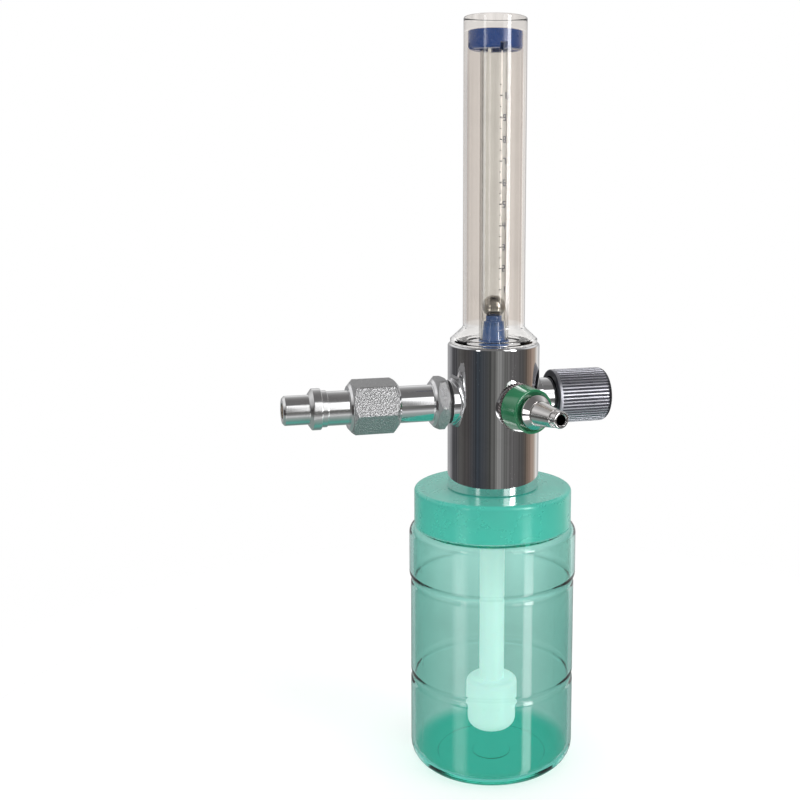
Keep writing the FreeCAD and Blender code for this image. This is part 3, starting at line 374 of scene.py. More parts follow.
class NodeGroups:
    """Shader node groups that several finishes share, each made once."""

    @staticmethod
    def start(name: str, given: dict[str, float | None], made: list[str]) -> tuple:
        """Makes a group with its sockets.

        Args:
            name: Name of the group.
            given: Default of each input, or none for one that takes a vector.
            made: Name of each output.

        Returns:
            The group's net, what it is given and what it fills.
        """
        tree = bpy.data.node_groups.new(name, "ShaderNodeTree")
        for label, value in given.items():
            kind = "NodeSocketVector" if value is None else "NodeSocketFloat"
            socket = tree.interface.new_socket(label, in_out="INPUT", socket_type=kind)
            if value is not None:
                socket.default_value = value
        for label in made:
            tree.interface.new_socket(label, in_out="OUTPUT", socket_type="NodeSocketFloat")
        nodes = tree.nodes
        return Net(tree), nodes.new("NodeGroupInput").outputs, nodes.new("NodeGroupOutput").inputs

    @staticmethod
    @cache
    def handling() -> bpy.types.NodeTree:
        """Fingerprints and wiping marks: soft noise stretched between two roughnesses."""
        net, given, filled = NodeGroups.start(
            "handling_marks", {"Vector": None, "Scale": 60.0, "Clean": 0.05, "Worn": 0.2},
            ["Roughness", "Mask"])
        noise = net.add("TexNoise", Vector=given["Vector"], Scale=given["Scale"], Detail=5.0,
                        Roughness=0.6)
        mask = net.spread(noise.outputs["Fac"], 0.42, 0.72)
        rough = net.add("MapRange", Value=mask, To_Min=given["Clean"], To_Max=given["Worn"])
        net.join(rough.outputs["Result"], filled["Roughness"])
        net.join(mask, filled["Mask"])
        return net.tree

    @staticmethod
    @cache
    def grain() -> bpy.types.NodeTree:
        """Fine moulding grain: two noises of different scale added as a height."""
        net, given, filled = NodeGroups.start(
            "fine_grain", {"Vector": None, "Scale": 900.0, "Waviness": 0.3}, ["Height", "Tone"])
        coarse = net.math("MULTIPLY", given["Scale"], 0.06)
        fine = net.add("TexNoise", Vector=given["Vector"], Scale=given["Scale"], Detail=2.0)
        wide = net.add("TexNoise", Vector=given["Vector"], Scale=coarse, Detail=1.0)
        tone = wide.outputs["Fac"]
        height = net.math("MULTIPLY_ADD", tone, given["Waviness"], fine.outputs["Fac"])
        net.join(height, filled["Height"])
        net.join(tone, filled["Tone"])
        return net.tree

    @staticmethod
    @cache
    def turning() -> bpy.types.NodeTree:
        """Lathe marks: noise along one axis only, which makes rings round it."""
        net, given, filled = NodeGroups.start(
            "turning_marks", {"Along": 0.0, "Pitch": 4000.0}, ["Height"])
        noise = net.add("TexNoise", Scale=given["Pitch"], Detail=3.0)
        noise.noise_dimensions = "1D"
        net.join(given["Along"], noise.inputs["W"])
        net.join(noise.outputs["Fac"], filled["Height"])
        return net.tree


class Shade(Net):
    """One material under construction: its tree, its Principled shader and its coordinates."""

    def __init__(self, name: str) -> None:
        """Starts a material with a Principled shader and Object coordinates."""
        self.material = bpy.data.materials.new(name)
        self.material.use_nodes = True
        super().__init__(self.material.node_tree)
        self.shader = self.tree.nodes["Principled BSDF"]
        self.place = self.add("TexCoord").outputs["Object"]

    def plain(self, **values: object) -> None:
        """Sets constants on the shader's own sockets, words with underscores for spaces."""
        for word, value in values.items():
            self.shader.inputs[word.replace("_", " ")].default_value = value

    def drive(self, word: str, source: Socket) -> None:
        """Links a value that changes over the surface to one of the shader's sockets."""
        self.join(source, self.shader.inputs[word])

    def show(self, result: Socket) -> None:
        """Makes a shader the material's surface."""
        self.join(result, self.tree.nodes["Material Output"].inputs["Surface"])

    def group(self, tree: bpy.types.NodeTree, **values: float) -> bpy.types.NodeOutputs:
        """Places a shared group with its own values, on Object coordinates if it reads any."""
        node = self.add("Group")
        node.node_tree = tree
        for word, value in values.items():
            node.inputs[word].default_value = value
        if "Vector" in node.inputs:
            self.join(self.place, node.inputs["Vector"])
        return node.outputs

    def handled(self, scale: float, clean: float, worn: float) -> Socket:
        """Lets handling marks set the roughness, and gives their mask."""
        marks = self.group(NodeGroups.handling(), Scale=scale, Clean=clean, Worn=worn)
        self.drive("Roughness", marks["Roughness"])
        return marks["Mask"]

    def turned(self, port: Port | None, pitch: float) -> Socket:
        """Gives the height of lathe marks along a port's axis, or along the upright one."""
        height = self.group(NodeGroups.turning(), Pitch=pitch)["Height"]
        self.join(self.along(port), height.node.inputs["Along"])
        return height

    def bump(self, height: Socket, strength: float, distance: float) -> None:
        """Adds a bump from a height.

        Args:
            height: The height socket.
            strength: Strength from 0 to 1.
            distance: Depth in metres.
        """
        node = self.add("Bump", Strength=strength, Distance=distance, Height=height)
        self.drive("Normal", node.outputs["Normal"])

    def tint(self, factor: Socket, low: Colour, high: Colour) -> None:
        """Blends the base colour between two colours by a factor."""
        self.drive("Base Color", self.ramp(factor, [(0.3, low), (0.7, high)]))

    def along(self, port: Port | None) -> Socket:
        """Gives the distance along a port's axis, or the height, in metres."""
        axis = (0.0, 0.0, 1.0) if port is None else tuple(port_axes(port)[:, 2])
        return self.vector("DOT_PRODUCT", self.place, axis).outputs["Value"]

    def from_axis(self, port: Port) -> Socket:
        """Gives the distance from a port's axis in metres: the length of the cross product."""
        moved = self.vector("SUBTRACT", self.place, (0.0, 0.0, PORT_HEIGHT * MM)).outputs[0]
        cross = self.vector("CROSS_PRODUCT", moved, tuple(port_axes(port)[:, 2])).outputs[0]
        return self.vector("LENGTH", cross).outputs["Value"]


def dimmed(colour: Colour, share: float) -> Colour:
    """Scales a colour down."""
    return tuple(part * share for part in colour)


@dataclass(frozen=True)
class Metal:
    """A plated or bare metal with turning marks and handling marks."""

    name: str
    colour: Colour
    clean: float = 0.06
    worn: float = 0.16
    marks: float = 0.05
    pitch: float = 3000.0
    port: Port | None = None

    def make(self) -> bpy.types.Material:
        """Builds the material."""
        shade = Shade(self.name)
        shade.plain(Metallic=1.0)
        mask = shade.handled(55.0, self.clean, self.worn)
        shade.tint(mask, self.colour, dimmed(self.colour, 0.93))
        shade.bump(shade.turned(self.port, self.pitch), self.marks, 0.00005)
        return shade.material


@dataclass(frozen=True)
class FlutedMetal:
    """Dark satin metal with painted shade in its flutes: darker in their valleys than on their crests.
    """

    name: str
    crest: Colour
    # Painted shade: the dark colour put in the valleys of the flutes.
    valley: Colour
    port: Port
    radius: float
    depth: float
    clean: float = 0.38
    worn: float = 0.5

    def make(self) -> bpy.types.Material:
        """Builds the material: the distance from the port's axis tells crest from valley, and the
        valleys get painted shade.
        """
        shade = Shade(self.name)
        shade.plain(Metallic=1.0)
        shade.handled(70.0, self.clean, self.worn)
        # Painted shade: the colour darkens from the crest's to the valley's as the surface sinks into a
        # flute.
        rise = shade.spread(shade.from_axis(self.port), (self.radius - self.depth) * MM,
                            (self.radius - 0.08) * MM)
        stops = [(0.0, self.valley), (0.55, self.valley), (1.0, self.crest)]
        shade.drive("Base Color", shade.ramp(rise, stops))
        grain = shade.group(NodeGroups.grain(), Scale=900.0, Waviness=0.3)
        shade.bump(grain["Height"], 0.05, 0.00003)
        return shade.material


@dataclass(frozen=True)
class ClearPlastic:
    """Clear moulded plastic, with painted shade seen edge on and painted light and shade in its foot.

    The index is low, so that thin walls show what is behind them at its true width. The coat gives
    the gloss, and only on faces that have no more than coat_walls surfaces in front of them.
    """

    name: str
    colour: Colour
    # Painted shade: the colour that the wall darkens to where it is seen edge on.
    edge: Colour
    cast: Colour = (0.96, 0.96, 0.96)
    # Facing from which the painted edge shade starts.
    edge_from: float = 0.45
    # Painted light and shade in the foot: paler on the shield's skirt, where its many walls would darken
    # it, and deeper on the bottle, its thick base's own tint together with painted shade of the floor
    # under it.
    foot: Colour | None = None
    foot_height: tuple[float, float] = (0.0, 0.0)
    foot_waves: float = 0.0
    index: float = 1.15
    coat: float = 1.0
    coat_walls: int = 0
    clean: float = 0.0
    worn: float = 0.015
    ripple: float = 300.0
    wave: float = 0.02

    def make(self) -> bpy.types.Material:
        """Builds the material; light that only passes on its way to a lamp goes straight on."""
        shade = Shade(self.name)
        shade.plain(IOR=self.index, Transmission_Weight=1.0)
        path = shade.add("LightPath").outputs
        shade.drive("Coat Weight", self.outer_coat(shade, path["Transmission Depth"]))
        mask = shade.handled(40.0, self.clean, self.worn)
        colour = shade.ramp(mask, [(0.3, self.colour), (0.7, dimmed(self.colour, 0.97))])
        # Painted shade: the colour darkens towards the edge colour where the wall is seen edge on.
        facing = shade.add("LayerWeight").outputs["Facing"]
        rim = shade.ramp(facing, [(self.edge_from, 0.0), (0.85, 1.0)])
        colour = shade.blend(rim, colour, (*self.edge, 1.0))
        height = shade.group(NodeGroups.grain(), Scale=self.ripple, Waviness=1.0)["Height"]
        # Painted light and shade in the foot: below the foot's heights the colour turns paler on the
        # shield and deeper on the bottle.
        if self.foot:
            low, high = self.foot_height
            below = shade.spread(shade.along(None), high * MM, low * MM)
            colour = shade.blend(below, colour, (*self.foot, 1.0))
            more = shade.math("MULTIPLY_ADD", below, self.foot_waves, 1.0)
            height = shade.math("MULTIPLY", height, more)
        shade.drive("Base Color", colour)
        shade.bump(height, self.wave, 0.0002)
        glass = shade.add("BsdfTransparent", Color=(*self.cast, 1.0)).outputs["BSDF"]
        passing = shade.math("MAXIMUM", path["Is Shadow Ray"], path["Is Diffuse Ray"])
        shade.show(shade.mixed(passing, shade.shader.outputs["BSDF"], glass))
        return shade.material

    def outer_coat(self, shade: Shade, depth: Socket) -> Socket:
        """Weight of the coat: its own on faces that face out with few enough walls in front."""
        behind = shade.add("NewGeometry").outputs["Backfacing"]
        near = shade.math("LESS_THAN", depth, self.coat_walls + 0.5)
        ahead = shade.math("MULTIPLY_ADD", behind, -self.coat, self.coat)
        return shade.math("MULTIPLY", ahead, near)


@dataclass(frozen=True)
class HexagonMetal:
    """Plated metal whose flats are rough cast and sparkle, while its turned runs are smooth."""

    name: str
    colour: Colour
    port: Port
    from_radius: float = 9.6
    rough: float = 0.55
    dim: float = 0.6
    sparkle: float = 1500.0

    def make(self) -> bpy.types.Material:
        """Builds the material: the distance from the port's axis tells the flats from the pipe."""
        shade = Shade(self.name)
        shade.plain(Metallic=1.0)
        marks = shade.group(NodeGroups.handling(), Scale=55.0, Clean=0.06, Worn=0.15)
        reach = shade.math("MULTIPLY", shade.from_axis(self.port), 50.0)
        start = self.from_radius * 50.0 * MM
        flats = shade.ramp(reach, [(start, 0.0), (start + 0.012, 1.0)])
        rough = (self.rough, self.rough, self.rough, 1.0)
        shade.drive("Roughness", shade.blend(flats, marks["Roughness"], rough))
        dull = (*dimmed(self.colour, self.dim), 1.0)
        shade.drive("Base Color", shade.blend(flats, (*self.colour, 1.0), dull))
        pits = shade.add("TexVoronoi", Vector=shade.place, Scale=self.sparkle)
        lines = shade.math("MULTIPLY", shade.turned(self.port, 3000.0), 0.01)
        shade.bump(shade.blend(flats, lines, pits.outputs["Distance"]), 0.85, 0.0002)
        return shade.material


@dataclass(frozen=True)
class Moulded:
    """Opaque or milky moulded plastic with fine grain, flow tones, a soft gloss and a painted glow."""

    name: str
    low: Colour
    high: Colour
    clean: float = 0.2
    worn: float = 0.4
    grain: float = 0.12
    scale: float = 900.0
    subsurface: float = 0.0
    transmission: float = 0.0
    coat: float = 0.0
    # Painted light: emission that makes the part glow though it is no lamp.
    glow: float = 0.0

    def make(self) -> bpy.types.Material:
        """Builds the material; its glow is painted light: an emission, though the part is no lamp,
        that stands for the light that milky plastic lets through.
        """
        shade = Shade(self.name)
        shade.plain(IOR=1.5, Subsurface_Weight=self.subsurface, Subsurface_Scale=0.003,
                    Transmission_Weight=self.transmission, Coat_Weight=self.coat,
                    Coat_Roughness=0.08, Emission_Color=(*self.high, 1.0),
                    Emission_Strength=self.glow)
        shade.handled(50.0, self.clean, self.worn)
        grain = shade.group(NodeGroups.grain(), Scale=self.scale, Waviness=0.5)
        shade.tint(grain["Tone"], self.low, self.high)
        shade.bump(grain["Height"], self.grain, 0.00008)
        return shade.material


class Finishes:
    """Every finish of the object, made when first asked for."""

    made: dict[str, bpy.types.Material] = {}
    kinds = {kind.name: kind for kind in (
        Metal("body_chrome", (0.80, 0.80, 0.81), clean=0.03, worn=0.055, marks=0.02),
        Metal("inlet_chrome", (0.80, 0.80, 0.80), clean=0.11, worn=0.2, port=Port.INLET),
        HexagonMetal("hexagon_chrome", (0.80, 0.80, 0.81), Port.INLET),
        Metal("washer_steel", (0.20, 0.17, 0.17), clean=0.3, worn=0.45, port=Port.OUTLET),
        Metal("outlet_chrome", (0.70, 0.68, 0.67), clean=0.09, worn=0.2, port=Port.OUTLET),
        Metal("valve_chrome", (0.80, 0.80, 0.81), clean=0.07, worn=0.18, port=Port.VALVE),
        FlutedMetal("knob_satin", (0.42, 0.42, 0.46), (0.05, 0.05, 0.06), Port.VALVE, KNOB_RADIUS,
                    FLUTE_RADIUS),
        Metal("steel", (0.52, 0.53, 0.54), clean=0.22, worn=0.36, marks=0.2, port=Port.VALVE),
        Metal("ball_steel", (0.42, 0.40, 0.375), clean=0.05, worn=0.09, marks=0.0),
        Metal("sintered_bronze", (0.42, 0.27, 0.14), clean=0.45, worn=0.6, port=Port.INLET),
        # Painted shade at the edges of the shield and the inner tube, and painted light in the shield's
        # paler foot.
        ClearPlastic("shield_clear", (0.84, 0.80, 0.765), edge=(0.60, 0.55, 0.52), edge_from=0.55,
                     cast=(0.95, 0.94, 0.93), foot=(0.93, 0.92, 0.91), foot_height=(186.4, 187.4),
                     foot_waves=60.0, index=1.12),
        ClearPlastic("tube_clear", (0.95, 0.965, 0.955), edge=(0.20, 0.185, 0.17), edge_from=0.3,
                     index=1.1, coat_walls=2),
        # Painted light: the glow values below make the seat, the milky white pieces and the lid glow
        # though they are no lamps.
        Moulded("seat_blue", (0.022, 0.08, 0.24), (0.035, 0.115, 0.33), coat=0.6, glow=0.08),
        Moulded("plug_blue", (0.014, 0.055, 0.22), (0.02, 0.075, 0.30), coat=0.2),
        Moulded("green_moulded", (0.014, 0.15, 0.06), (0.024, 0.215, 0.095), clean=0.12, worn=0.25,
                coat=0.6),
        Moulded("milky_white", (0.80, 0.88, 0.86), (0.88, 0.93, 0.92), clean=0.3, worn=0.45,
                subsurface=0.2, glow=0.24),
        Moulded("scale_ink", (0.03, 0.035, 0.07), (0.045, 0.05, 0.09), clean=0.5, worn=0.7),
        Moulded("seal_rubber", (0.018, 0.018, 0.019), (0.03, 0.03, 0.031), clean=0.55, worn=0.75),
        Moulded("lid_green", (0.07, 0.60, 0.47), (0.10, 0.69, 0.56), clean=0.24, worn=0.36,
                grain=0.008, transmission=0.3, coat=0.5, scale=120.0, glow=0.04),
        Moulded("nut_green", (0.12, 0.66, 0.54), (0.18, 0.74, 0.62), clean=0.25, worn=0.4,
                subsurface=0.3),
        # Painted shade at the bottle's edges; its foot colour is its own deeper tint together with
        # painted shade of the floor under it.
        ClearPlastic("bottle_green", (0.60, 0.84, 0.79), edge=(0.30, 0.63, 0.57), edge_from=0.15,
                     cast=(0.90, 0.97, 0.95), foot=(0.07, 0.63, 0.50), foot_height=(2.7, 7.0),
                     index=1.1, coat=0.8, clean=0.01, worn=0.05, ripple=160.0, wave=0.25),
    )}

    @classmethod
    def get(cls, name: str) -> bpy.types.Material:
        """Gives the finish of that name."""
        if name not in cls.made:
            cls.made[name] = cls.kinds[name].make()
        return cls.made[name]


def dress(piece: Piece, finish: str, body: str, slot: str, *nodes: str) -> None:
    """Gives a new piece its finish, its body and the CAD nodes that it stands for.

    Args:
        piece: The new piece.
        finish: Name of its finish.
        body: CAD body that it rides on.
        slot: Material slot of the record; it is not used.
        nodes: CAD nodes that it replaces.
    """
    piece.data.materials.clear()
    piece.data.materials.append(Finishes.get(finish))
    if nodes:
        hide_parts(*nodes)
    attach(piece, body)
    LOG.info("%s: %d faces, finish %s, rides on %s", piece.name, len(piece.data.polygons), finish,
             body)


def dress_node(node: str, finish: str) -> None:
    """Gives a CAD node that stays a finish of its own."""
    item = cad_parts[node]
    item.data.materials.clear()
    item.data.materials.append(Finishes.get(finish))
    LOG.info("%s: CAD node, finish %s", node, finish)


@dataclass
class Body:
    """The chromed body: a turned bar with port bosses, a groove in its top and a spigot."""

    radius: float = 19.0
    foot: float = BODY_FOOT
    top: float = BODY_TOP
    spigot_foot: float = 101.5
    spigot_radius: float = 9.5
    groove_foot: float = 169.9
    groove_radii: tuple[float, float] = (11.0, 14.45)
    boss_radius: float = 9.2
    boss_root: float = 10.0
    boss_reach: float = PORT_FACE

    def build(self) -> None:
        """Builds and dresses the body."""
        inner, outer = self.groove_radii
        bar = lathe("body_bar", [
            (0, self.spigot_foot, 0), (self.spigot_radius, self.spigot_foot, 0.4),
            (self.spigot_radius, self.foot, 0), (self.radius, self.foot, 0.5),
            (self.radius, self.top, 1.0), (outer, self.top, 0), (outer, self.groove_foot, 0),
            (inner, self.groove_foot, 0), (inner, self.top, 0.2), (0, self.top, 0)], spacing=4.0)
        dress(bar, "body_chrome", "flowmeter", "chrome", "flow_body")
        for port in Port:
            boss = lathe(f"body_boss_{port.name.lower()}", [
                (0, self.boss_root, 0), (self.boss_radius, self.boss_root, 0),
                (self.boss_radius, self.boss_reach, 0.25), (0, self.boss_reach, 0)], port)
            dress(boss, "body_chrome", "flowmeter", "chrome")


@dataclass
class FloatTube:
    """The clear shield and float tube with their blue seat, ball and plug."""

    body_top: float = BODY_TOP
    tube_foot: float = 179.4
    tube_top: float = 300.0
    plug_foot: float = 296.6
    plug_top: float = 303.9
    roof: float = 304.1
    end: float = 309.5
    thread_depth: float = 7.5
    shield_radius: float = 12.8
    shield_bore: float = 11.2
    thread_radius: float = 14.4
    skirt_radius: float = 18.0
    skirt_land: float = 1.8
    skirt_rise: float = 6.6
    tube_radius: float = 6.1
    plug_radius: float = 10.9
    plug_socket: float = 6.15
    plug_ceiling: float = 301.6
    slot_half: float = 1.5
    slot_rise: float = 2.2
    channel_radius: float = 7.3
    channel_middle: float = 6.7
    ball_middle: float = 193.662
    ball_radius: float = 4.7
    scale_start: float = 201.0
    scale_pitch: float = 8.6
    scale_numbers: int = 10
    scale_bearing: float = 0.0
    line_angle: float = 0.17
    short_angle: float = 0.1
    digit_angle: float = 0.24
    digit_pitch: float = 0.29
    digit_drop: float = 1.3
    ink_radii: tuple[float, float] = (6.105, 6.15)

    def build(self) -> None:
        """Builds and dresses every piece of the float tube."""
        self.shield()
        self.tube()
        self.seat()
        self.ball()
        self.plug()
        self.scale()
        dress_node("foot_gasket", "seal_rubber")

    def shield(self) -> None:
        """The outer tube, closed at the top, with a flared skirt and a threaded foot."""
        base = self.body_top
        foot, rise = base - self.thread_depth, base + self.skirt_rise
        outer, bore, skirt = self.shield_radius, self.shield_bore, self.skirt_radius
        piece = lathe("shield", [
            (bore, foot, 0), (self.thread_radius, foot, 0.3), (self.thread_radius, base + 0.02, 0),
            (skirt, base + 0.02, 0.2), (skirt, base + self.skirt_land, 0.2),
            (outer, rise, 1.5), (outer, self.end, 0.8), (0, self.end, 0),
            (0, self.roof, 0), (bore, self.roof, 0.5), (bore, rise, 1.0),
            (16.1, base + 1.4, 0.3), (bore, base + 1.4, 0.2)], spacing=8.0)
        dress(piece, "shield_clear", "flowmeter", "clear_plastic", "shield_tube")

    def tube(self) -> None:
        """The inner tube with its bore widening upwards."""
        foot_bore, low_bore, high_bore, taper = 5.1, 4.8, 5.2, 188.3
        piece = lathe("float_tube", [
            (foot_bore, self.tube_foot, 0), (self.tube_radius, self.tube_foot, 0),
            (self.tube_radius, self.tube_top, 0.15), (high_bore, self.tube_top, 0.15),
            (low_bore, taper, 0), (foot_bore, taper - 0.3, 0)], spacing=8.0)
        dress(piece, "tube_clear", "flowmeter", "clear_plastic", "flow_tube")

    def seat(self) -> None:
        """The blue bell that the ball rests on."""
        hole, stem, flange, neck = 1.2, 2.6, 6.3, 3.3
        foot, bell, rim = self.body_top - 4.5, 187.8, 189.9
        piece = lathe("seat", [
            (hole, foot, 0), (stem, foot, 0), (stem, self.body_top, 0),
            (flange, self.body_top, 0.1), (flange, self.tube_foot, 0.1), (4.85, self.tube_foot, 0),
            (4.15, bell, 0.68), (neck, bell, 0), (neck, rim, 0.15), (neck - 0.4, rim, 0),
            (hole, 187.1, 0)], count=128)
        dress(piece, "seat_blue", "flowmeter", "blue_plastic", "ball_seat")

    def ball(self) -> None:
        """The steel ball: a half circle turned about the upright axis."""
        rise = np.linspace(-math.pi / 2, math.pi / 2, 65)[:, None]
        piece = surface("ball", self.ball_radius * np.cos(rise),
                        self.ball_middle + self.ball_radius * np.sin(rise), even_angles(128),
                        closed=False)
        dress(piece, "ball_steel", "float", "steel_ball", "float_ball")

    def plug(self) -> None:
        """The blue plug, with its four slots and channels cut by columns that step inwards."""
        angles = self.slotted_angles()
        foot, top, edge, roof = self.plug_foot, self.plug_top, self.plug_radius, self.plug_ceiling
        near = np.abs((angles + math.pi / 4) % (math.pi / 2) - math.pi / 4)
        slot = near < math.asin(self.slot_half / edge) + 1e-6
        channel = near < math.asin(self.slot_half / self.channel_middle) + 1e-6
        low = np.where(slot, foot + self.slot_rise, foot)
        socket = np.where(channel, self.channel_radius, self.plug_socket)
        below = rounded([(8.0, 0, 0), (edge, 0, 1.2), (edge, 4.0, 0)], closed=False)
        above = rounded([(edge, foot + 4.0, 0), (edge, top, 0.3), (0, top, 0), (0, roof, 0),
                         (self.channel_radius, roof, 0)], closed=False)[1:]
        rows = [(socket, low), *((r, np.maximum(low, foot + z)) for r, z in below), *above,
                (socket, roof)]
        piece = stacked("plug", rows, angles, sharp=25.0)
        dress(piece, "plug_blue", "flowmeter", "blue_plastic", "top_plug")

    def slotted_angles(self) -> np.ndarray:
        """Even angles with doubled columns at each side of the slots and channels."""
        edges = [math.asin(self.slot_half / r) for r in (self.plug_radius, self.channel_middle)]
        steps = np.concatenate([[e - 1e-4, e + 1e-4, -e - 1e-4, -e + 1e-4] for e in edges])
        extra = (steps[:, None] + np.arange(4) * math.pi / 2).ravel() % (2 * math.pi)
        return np.unique(np.concatenate([even_angles(160), extra]))

    def scale(self) -> None:
        """The flow scale printed on the inner tube: plain numbers from one up, each with its line.

        Each patch is a grid of (radius, height, angle) whose angles run evenly between its ends.
        """
        patches = []
        for number in range(1, self.scale_numbers + 1):
            height = self.scale_start + self.scale_pitch * (number - 1)
            between = height + self.scale_pitch / 2
            patches.append((0.0, self.line_angle, height - 0.18, height + 0.18))
            patches.append((0.0, self.short_angle, between - 0.15, between + 0.13))
            for place, digit in enumerate(str(number)):
                start = self.digit_angle + self.digit_pitch * place
                patches += self.digit(digit, start, height - self.digit_drop)
        low, high, foot, top = np.array(patches).T[..., None, None, None]
        steps = np.linspace(0, 1, 4)
        turn = math.radians(self.scale_bearing - 90) + low + (high - low) * steps
        rise = np.where(np.array([[False], [True]]), top, foot)
        reach = np.array(self.ink_radii)[:, None, None]
        reach, rise, turn = np.broadcast_arrays(reach, rise, turn)
        points = np.stack([reach * np.cos(turn), reach * np.sin(turn), rise], axis=-1) * MM
        each = np.array(self.patch_faces(len(steps)))
        faces = each[None] + 4 * len(steps) * np.arange(len(patches))[:, None, None]
        mesh = bpy.data.meshes.new("flow_scale")
        mesh.from_pydata(points.reshape(-1, 3).tolist(), [], faces.reshape(-1, 4).tolist())
        dress(finished("flow_scale", mesh, 30.0), "scale_ink", "flowmeter", "clear_plastic")

    @staticmethod
    def patch_faces(count: int) -> list[list[int]]:
        """Faces of a thin curved patch whose points run inner low, inner high, outer low, outer high."""
        faces = []
        for step in range(count - 1):
            inner, outer = step, step + 2 * count
            faces.append([inner, inner + count, inner + count + 1, inner + 1])
            faces.append([outer, outer + 1, outer + count + 1, outer + count])
            faces.append([inner, inner + 1, outer + 1, outer])
            faces.append([inner + count, outer + count, outer + count + 1, inner + count + 1])
        for end in (0, count - 1):
            faces.append([end, end + 2 * count, end + 3 * count, end + count])
        return faces

    @staticmethod
    def digit(digit: str, start: float, foot: float) -> list[tuple[float, float, float, float]]:
        """Strokes of a plain digit, as angles from the scale's line and heights.

        Args:
            digit: The digit.
            start: Angle of its left side, in radians.
            foot: Height of its foot, in millimetres.

        Returns:
            Its strokes as (first angle, last angle, lowest, highest).
        """
        wide, tall, pen = 0.23, 2.6, 0.36
        thin = pen / FloatTube.tube_radius
        left, right = (start, start + thin), (start + wide - thin, start + wide)
        flat, middle = (start, start + wide), foot + tall / 2
        strokes = {
            "a": (*flat, foot + tall - pen, foot + tall), "b": (*right, middle, foot + tall),
            "c": (*right, foot, middle), "d": (*flat, foot, foot + pen), "e": (*left, foot, middle),
            "f": (*left, middle, foot + tall), "g": (*flat, middle - pen / 2, middle + pen / 2)}
        shapes = {"0": "abcdef", "1": "bc", "2": "abged", "3": "abgcd", "4": "fgbc", "5": "afgcd",
                  "6": "afgecd", "7": "abc", "8": "abcdefg", "9": "abcdfg"}
        return [strokes[letter] for letter in shapes[digit]]


@dataclass
class Inlet:
    """The nipple, union nut and probe along -X."""

    nipple_start: float = 20.0
    hexagon_length: float = 7.0
    nut_start: float = 41.0
    nut_length: float = 20.2
    pipe_end: float = 51.0
    flats: float = 20.0
    crown: float = 1.3
    slope: float = 0.9
    nipple_turn: float = 27.0
    nut_turn: float = 21.0
    gas_bore: float = 2.2
    collar_end: float = 55.6

    def build(self) -> None:
        """Builds and dresses the inlet."""
        self.nipple()
        self.nut()
        self.probe()
        for node in ("inlet_gasket", "union_washer"):
            dress_node(node, "seal_rubber")
        dress_node("inlet_filter", "sintered_bronze")

    def hexagon(self, name: str, bore: list[Row], start: float, end: float, turned: float,
                ahead: list[Row] | np.ndarray = ()) -> Piece:
        """Builds a hexagon with crowned ends as rows whose height follows the hexagon's corners.

        Args:
            name: Name of the piece.
            bore: Points of the bore from the far end back to the near end.
            start: Where the hexagon starts.
            end: Where it ends.
            turned: Angle in degrees from a corner straight up.
            ahead: Points of the outside beyond the hexagon, if it has any.

        Returns:
            The new object.
        """
        angles = even_angles(384)
        around = hexagon_radius(angles, self.flats, turned)
        flat = self.flats / 2 - self.crown
        drop = (around - flat) * self.slope
        shares = (0.5, 0.97)
        rows = [(flat, start)]
        rows += [(flat + (around - flat) * t, start + drop * t) for t in shares]
        rows += [(around, start + drop + 0.03)]
        middle = np.linspace(0.1, 0.9, 7)
        rows += [(around, start + drop + (end - start - 2 * drop) * t) for t in middle]
        rows += [(around, end - drop - 0.03)]
        rows += [(flat + (around - flat) * t, end - drop * t) for t in reversed(shares)]
        rows += [(flat, end), *ahead, *bore]
        return stacked(name, rows, angles, Port.INLET, sharp=22.0)

    def nipple(self) -> None:
        """The nipple: tail, hexagon and pipe in one piece."""
        end = self.nipple_start + self.hexagon_length
        bore = [(self.gas_bore, self.pipe_end), (self.gas_bore, 12.0), (6.8, 12.0),
                (6.8, self.nipple_start)]
        root = rounded([(8.6, end, 0), (7.5, end, 0.4), (7.5, self.pipe_end, 0.2),
                        (self.gas_bore, self.pipe_end, 0)], closed=False)
        piece = self.hexagon("nipple", bore, self.nipple_start, end, self.nipple_turn, root[1:])
        dress(piece, "hexagon_chrome", "flowmeter", "chrome", "inlet_nipple")

    def nut(self) -> None:
        """The long union nut."""
        end = self.nut_start + self.nut_length
        narrow, wide, edge = 6.95, 7.55, 0.2
        bore = [(narrow + edge, end), (narrow, end - edge), (narrow, self.collar_end),
                (wide, self.collar_end), (wide, self.nut_start + edge), (wide + edge, self.nut_start)]
        piece = self.hexagon("union_hexagon", bore, self.nut_start, end, self.nut_turn)
        dress(piece, "hexagon_chrome", "flowmeter", "chrome", "union_nut")

    def probe(self) -> None:
        """The probe: collar, shaft, locking flange and tip."""
        bore, collar, shaft, ring = self.gas_bore, 7.4, 6.9, 7.35
        flange, tip, mouth = 8.3, 5.9, 3.2
        piece = lathe("probe_shaft", [
            (bore, 52.2, 0), (collar, 52.2, 0), (collar, self.collar_end, 0),
            (shaft, self.collar_end, 0), (shaft, 69.8, 0.1), (ring, 69.8, 0.25), (ring, 72.2, 0.1),
            (flange, 72.2, 0.35), (flange, 75.6, 0.35), (6.5, 76.9, 0.2), (tip, 76.9, 0.25),
            (tip, 86.3, 0.2), (5.0, 87.2, 0.2), (mouth, 87.2, 0.15), (mouth, 81.0, 0),
            (bore, 81.0, 0)], Port.INLET)
        dress(piece, "inlet_chrome", "flowmeter", "chrome", "probe")


